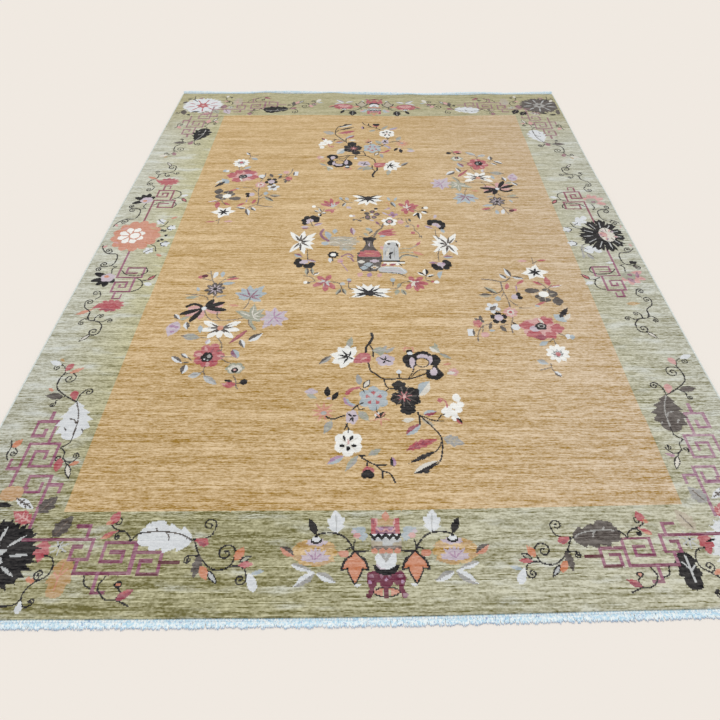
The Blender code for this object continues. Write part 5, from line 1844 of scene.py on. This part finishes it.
cordPlaces = (("overcastLeft", "selvedge_left", 0.0, -1), ("overcastRight", "selvedge_right", 1.0, 1))
for name, node, edge, out in cordPlaces:
    wraps = round(rugPlan["length"] / overcastYarn["wrap"])
    cordAlong = np.linspace(0, 1, 2 * wraps + 1)
    swell = np.where(np.arange(2 * wraps + 1) % 2 == 0, overcastYarn["dip"], 1.0)
    x, y = planPoint(np.full_like(cordAlong, edge), cordAlong)
    x = x + out * (rugPlan["seamGap"] + overcastYarn["width"] / 2)
    z = clothLift(np.full_like(cordAlong, edge), cordAlong) + overcastYarn["height"] / 2
    angle = 2 * np.pi * (np.arange(overcastYarn["sides"]) + 0.5) / overcastYarn["sides"]
    points = np.stack([
        x[:, None] + np.cos(angle) * swell[:, None] * overcastYarn["width"] / 2,
        np.repeat(y[:, None], len(angle), axis=1),
        z[:, None] + np.sin(angle) * swell[:, None] * overcastYarn["height"] / 2,
    ], axis=-1)
    faces = tubeFaces(len(cordAlong), overcastYarn["sides"])
    # rings go along the rug, so the faces point outwards when each is turned round
    sideCord = newPiece(name, points, [face[::-1] for face in faces], cordWool)
    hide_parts(node)
print("side cords ready")

# the warps end in short flat cotton locks past a narrow woven web
fringe = {
    "bundles": 292,
    "threads": 5,
    "sides": 6,
    "rings": 6,
    "width": 0.0019,
    "thickness": 0.0008,
    "taper": ((0.0, 0.62), (0.2, 0.95), (0.7, 1.0), (1.0, 0.35)),
    "spread": 0.36,
    "uneven": 0.06,  # how far a lock strays from its even place
    "raise": {"near": 0.0, "far": 0.0105},  # the far fringe is raised, so that it shows past the pile
    "arch": 0.45,  # share by which a raised fringe rises further in its middle
    "tipRise": 0.1,
    "roll": 0.2,  # and by which it rises and falls along the end
    "rollWave": (9, 1),
    "start": 0.006,  # from the pile's edge to the locks' roots
    "rootHeight": 0.0016,
    "layHeight": 0.0010,
    "layStray": 0.0008,
    "leastHeight": 0.0002,
    "length": 0.023,
    "lengthSpread": 0.003,
    "cut": (0.86, 1.04),  # shortest and longest thread of a bundle
    "lean": 0.003,
    "leanCurve": 1.3,
    "fan": 0.002,
    "wave": 0.0012,
    "settle": 1.6,  # how soon a lock comes down from its root
    "webSteps": 240,
    "web": ((0.0003, 0.0), (0.0003, 0.0030), (0.0050, 0.0034), (0.0092, 0.0026), (0.0092, 0.0)),
    "seeds": {"near": 5, "far": 9},
}
cottonLook = {
    "blue": (0.50, 0.74, 0.90),
    "white": (0.95, 1.0, 1.0),
    "shade": (0.26, 0.34, 0.60),
    "fibre": (420.0, 0.4),  # scale, share
    "soil": (150.0, 0.6),
    "blueToWhite": (0.40, 0.58),
    # how dark the gaps at the roots, the specks and the tips are
    "gap": 0.7,
    "speck": 0.8,
    "tip": 0.6,
    # from where to where each fades
    "gapWidth": (0.10, 0.0),
    "gapLength": (0.30, 0.05),
    "speckNoise": (0.66, 0.72),
    "tipLength": (0.78, 1.0),
    "speckScale": 170.0,
    "bump": 0.4,
    "bumpHeight": 0.0005,
}

cotton, cottonShader = newMaterial("blued white cotton", 0.1, 0.9)
add, maths, ramp, noise, mix, colourMix = nodeTools(cotton)
cottonPlace = add("TexCoord", {}).outputs["Object"]
lengthways = add("Attribute", {}, attribute_name="lengthways").outputs["Fac"]
(fibreScale, fibreShare), (soilScale, soilShare) = cottonLook["fibre"], cottonLook["soil"]
fibre = noise(cottonPlace, fibreScale, 3.0)
soil = noise(cottonPlace, soilScale, 2.0)
whiteness = maths("ADD", maths("MULTIPLY", fibre, fibreShare), maths("MULTIPLY", soil, soilShare))
whiteness = ramp(whiteness, *cottonLook["blueToWhite"])
cottonColour = colourMix(whiteness, cottonLook["blue"], cottonLook["white"])
# small shadows between the locks and at their tips
cottonX = add("SeparateXYZ", {0: cottonPlace}).outputs[0]
gap = maths("PINGPONG", maths("MULTIPLY", cottonX, fringe["bundles"] / rugPlan["width"]), 0.5)
nearRoot = maths("MULTIPLY", ramp(lengthways, *cottonLook["gapLength"]), cottonLook["gap"])
gap = maths("MULTIPLY", ramp(gap, *cottonLook["gapWidth"]), nearRoot)
speck = ramp(noise(cottonPlace, cottonLook["speckScale"], 1.0), *cottonLook["speckNoise"])
speck = maths("MULTIPLY", speck, cottonLook["speck"])
tip = maths("MULTIPLY", ramp(lengthways, *cottonLook["tipLength"]), cottonLook["tip"])
shaded = maths("MAXIMUM", gap, maths("MAXIMUM", speck, tip))
cottonColour = colourMix(shaded, cottonColour, cottonLook["shade"])
joinNodes(cotton, cottonColour, cottonShader.inputs["Base Color"])
bump = add("Bump", {"Height": fibre, "Strength": cottonLook["bump"], "Distance": cottonLook["bumpHeight"]})
joinNodes(cotton, bump.outputs[0], cottonShader.inputs["Normal"])

fringePlaces = (("fringeNear", "fringe_front", 0.0, -1), ("fringeFar", "fringe_back", 1.0, 1))
for name, node, edge, out in fringePlaces:
    whichEnd = "near" if out < 0 else "far"
    strayEnds = np.random.default_rng(fringe["seeds"][whichEnd])
    raised = fringe["raise"][whichEnd]
    webAcross = np.linspace(0, 1, fringe["webSteps"])
    webX, webY = planPoint(webAcross, np.full_like(webAcross, edge))
    webZ = clothLift(webAcross, np.full_like(webAcross, edge))
    web = []
    for reach, height in fringe["web"]:
        web.append(np.c_[webX, webY + out * reach, webZ + height + (raised if height else 0)])
    points = np.stack(web, axis=1).reshape(-1, 3)
    faces = tubeFaces(len(webAcross), len(fringe["web"]))
    faces = [face if out < 0 else face[::-1] for face in faces]
    # one lock's rings, bent and set down for every lock of every bundle
    threads = fringe["bundles"] * fringe["threads"]
    bundle = np.repeat(np.arange(fringe["bundles"]), fringe["threads"])
    beside = np.tile(np.linspace(-1, 1, fringe["threads"]), fringe["bundles"]) * fringe["spread"]
    strayed = strayEnds.uniform(-fringe["uneven"], fringe["uneven"], threads)
    rootAcross = (bundle + 0.5 + beside + strayed) / fringe["bundles"]
    rootX, rootY = planPoint(rootAcross, np.full_like(rootAcross, edge))
    rootZ = clothLift(rootAcross, np.full_like(rootAcross, edge)) + fringe["rootHeight"]
    bundleLean = strayEnds.uniform(-1, 1, fringe["bundles"]) * fringe["lean"]
    lean = bundleLean[bundle] + beside * fringe["fan"] + strayEnds.uniform(-1, 1, threads) * fringe["fan"]
    bundleLength = fringe["length"] + strayEnds.uniform(-1, 1, fringe["bundles"]) * fringe["lengthSpread"]
    length = bundleLength[bundle] * strayEnds.uniform(*fringe["cut"], threads)
    wave = strayEnds.uniform(-1, 1, threads) * fringe["wave"]
    t = np.linspace(0, 1, fringe["rings"])[None, :]
    lineX = rootX[:, None] + lean[:, None] * t ** fringe["leanCurve"]
    lineX = lineX + wave[:, None] * np.sin(2 * np.pi * t)
    lineY = rootY[:, None] + out * (fringe["start"] + length[:, None] * t)
    arch = raised * (1 + fringe["arch"] * np.sin(np.pi * t) + fringe["tipRise"] * t)
    rollScale, rollStart = fringe["rollWave"]
    arch = arch * (1 + fringe["roll"] * np.sin(rollScale * rootX[:, None] + rollStart))
    comingDown = (1 - t) ** fringe["settle"]
    lineZ = fringe["layHeight"] + arch + (rootZ[:, None] - fringe["layHeight"]) * comingDown
    lineZ = lineZ + fringe["layStray"] * strayEnds.uniform(0, 1, threads)[:, None]
    swell = np.interp(t, *zip(*fringe["taper"]))
    angle = 2 * np.pi * np.arange(fringe["sides"]) / fringe["sides"]
    ringX = lineX[..., None] + fringe["width"] * swell[..., None] * np.cos(angle)
    ringZ = lineZ[..., None] + fringe["thickness"] * swell[..., None] * np.sin(angle)
    ringY = np.repeat(lineY[..., None], fringe["sides"], axis=-1)
    threadPoints = np.stack([ringX, ringY, np.maximum(ringZ, fringe["leastHeight"])], axis=-1).reshape(-1, 3)
    first = len(points)
    perThread = fringe["rings"] * fringe["sides"]
    for i in range(threads):
        made = tubeFaces(fringe["rings"], fringe["sides"], first + i * perThread)
        faces += made if out < 0 else [face[::-1] for face in made]
    ends = newPiece(name, np.vstack([points, threadPoints]), faces, cotton)
    reached = np.tile(np.repeat(np.linspace(0.1, 1, fringe["rings"]), fringe["sides"]), threads)
    layer = ends.data.attributes.new("lengthways", "FLOAT", "POINT")
    layer.data.foreach_set("value", np.concatenate([np.zeros(first), reached]))
    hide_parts(node)
print("fringes ready")
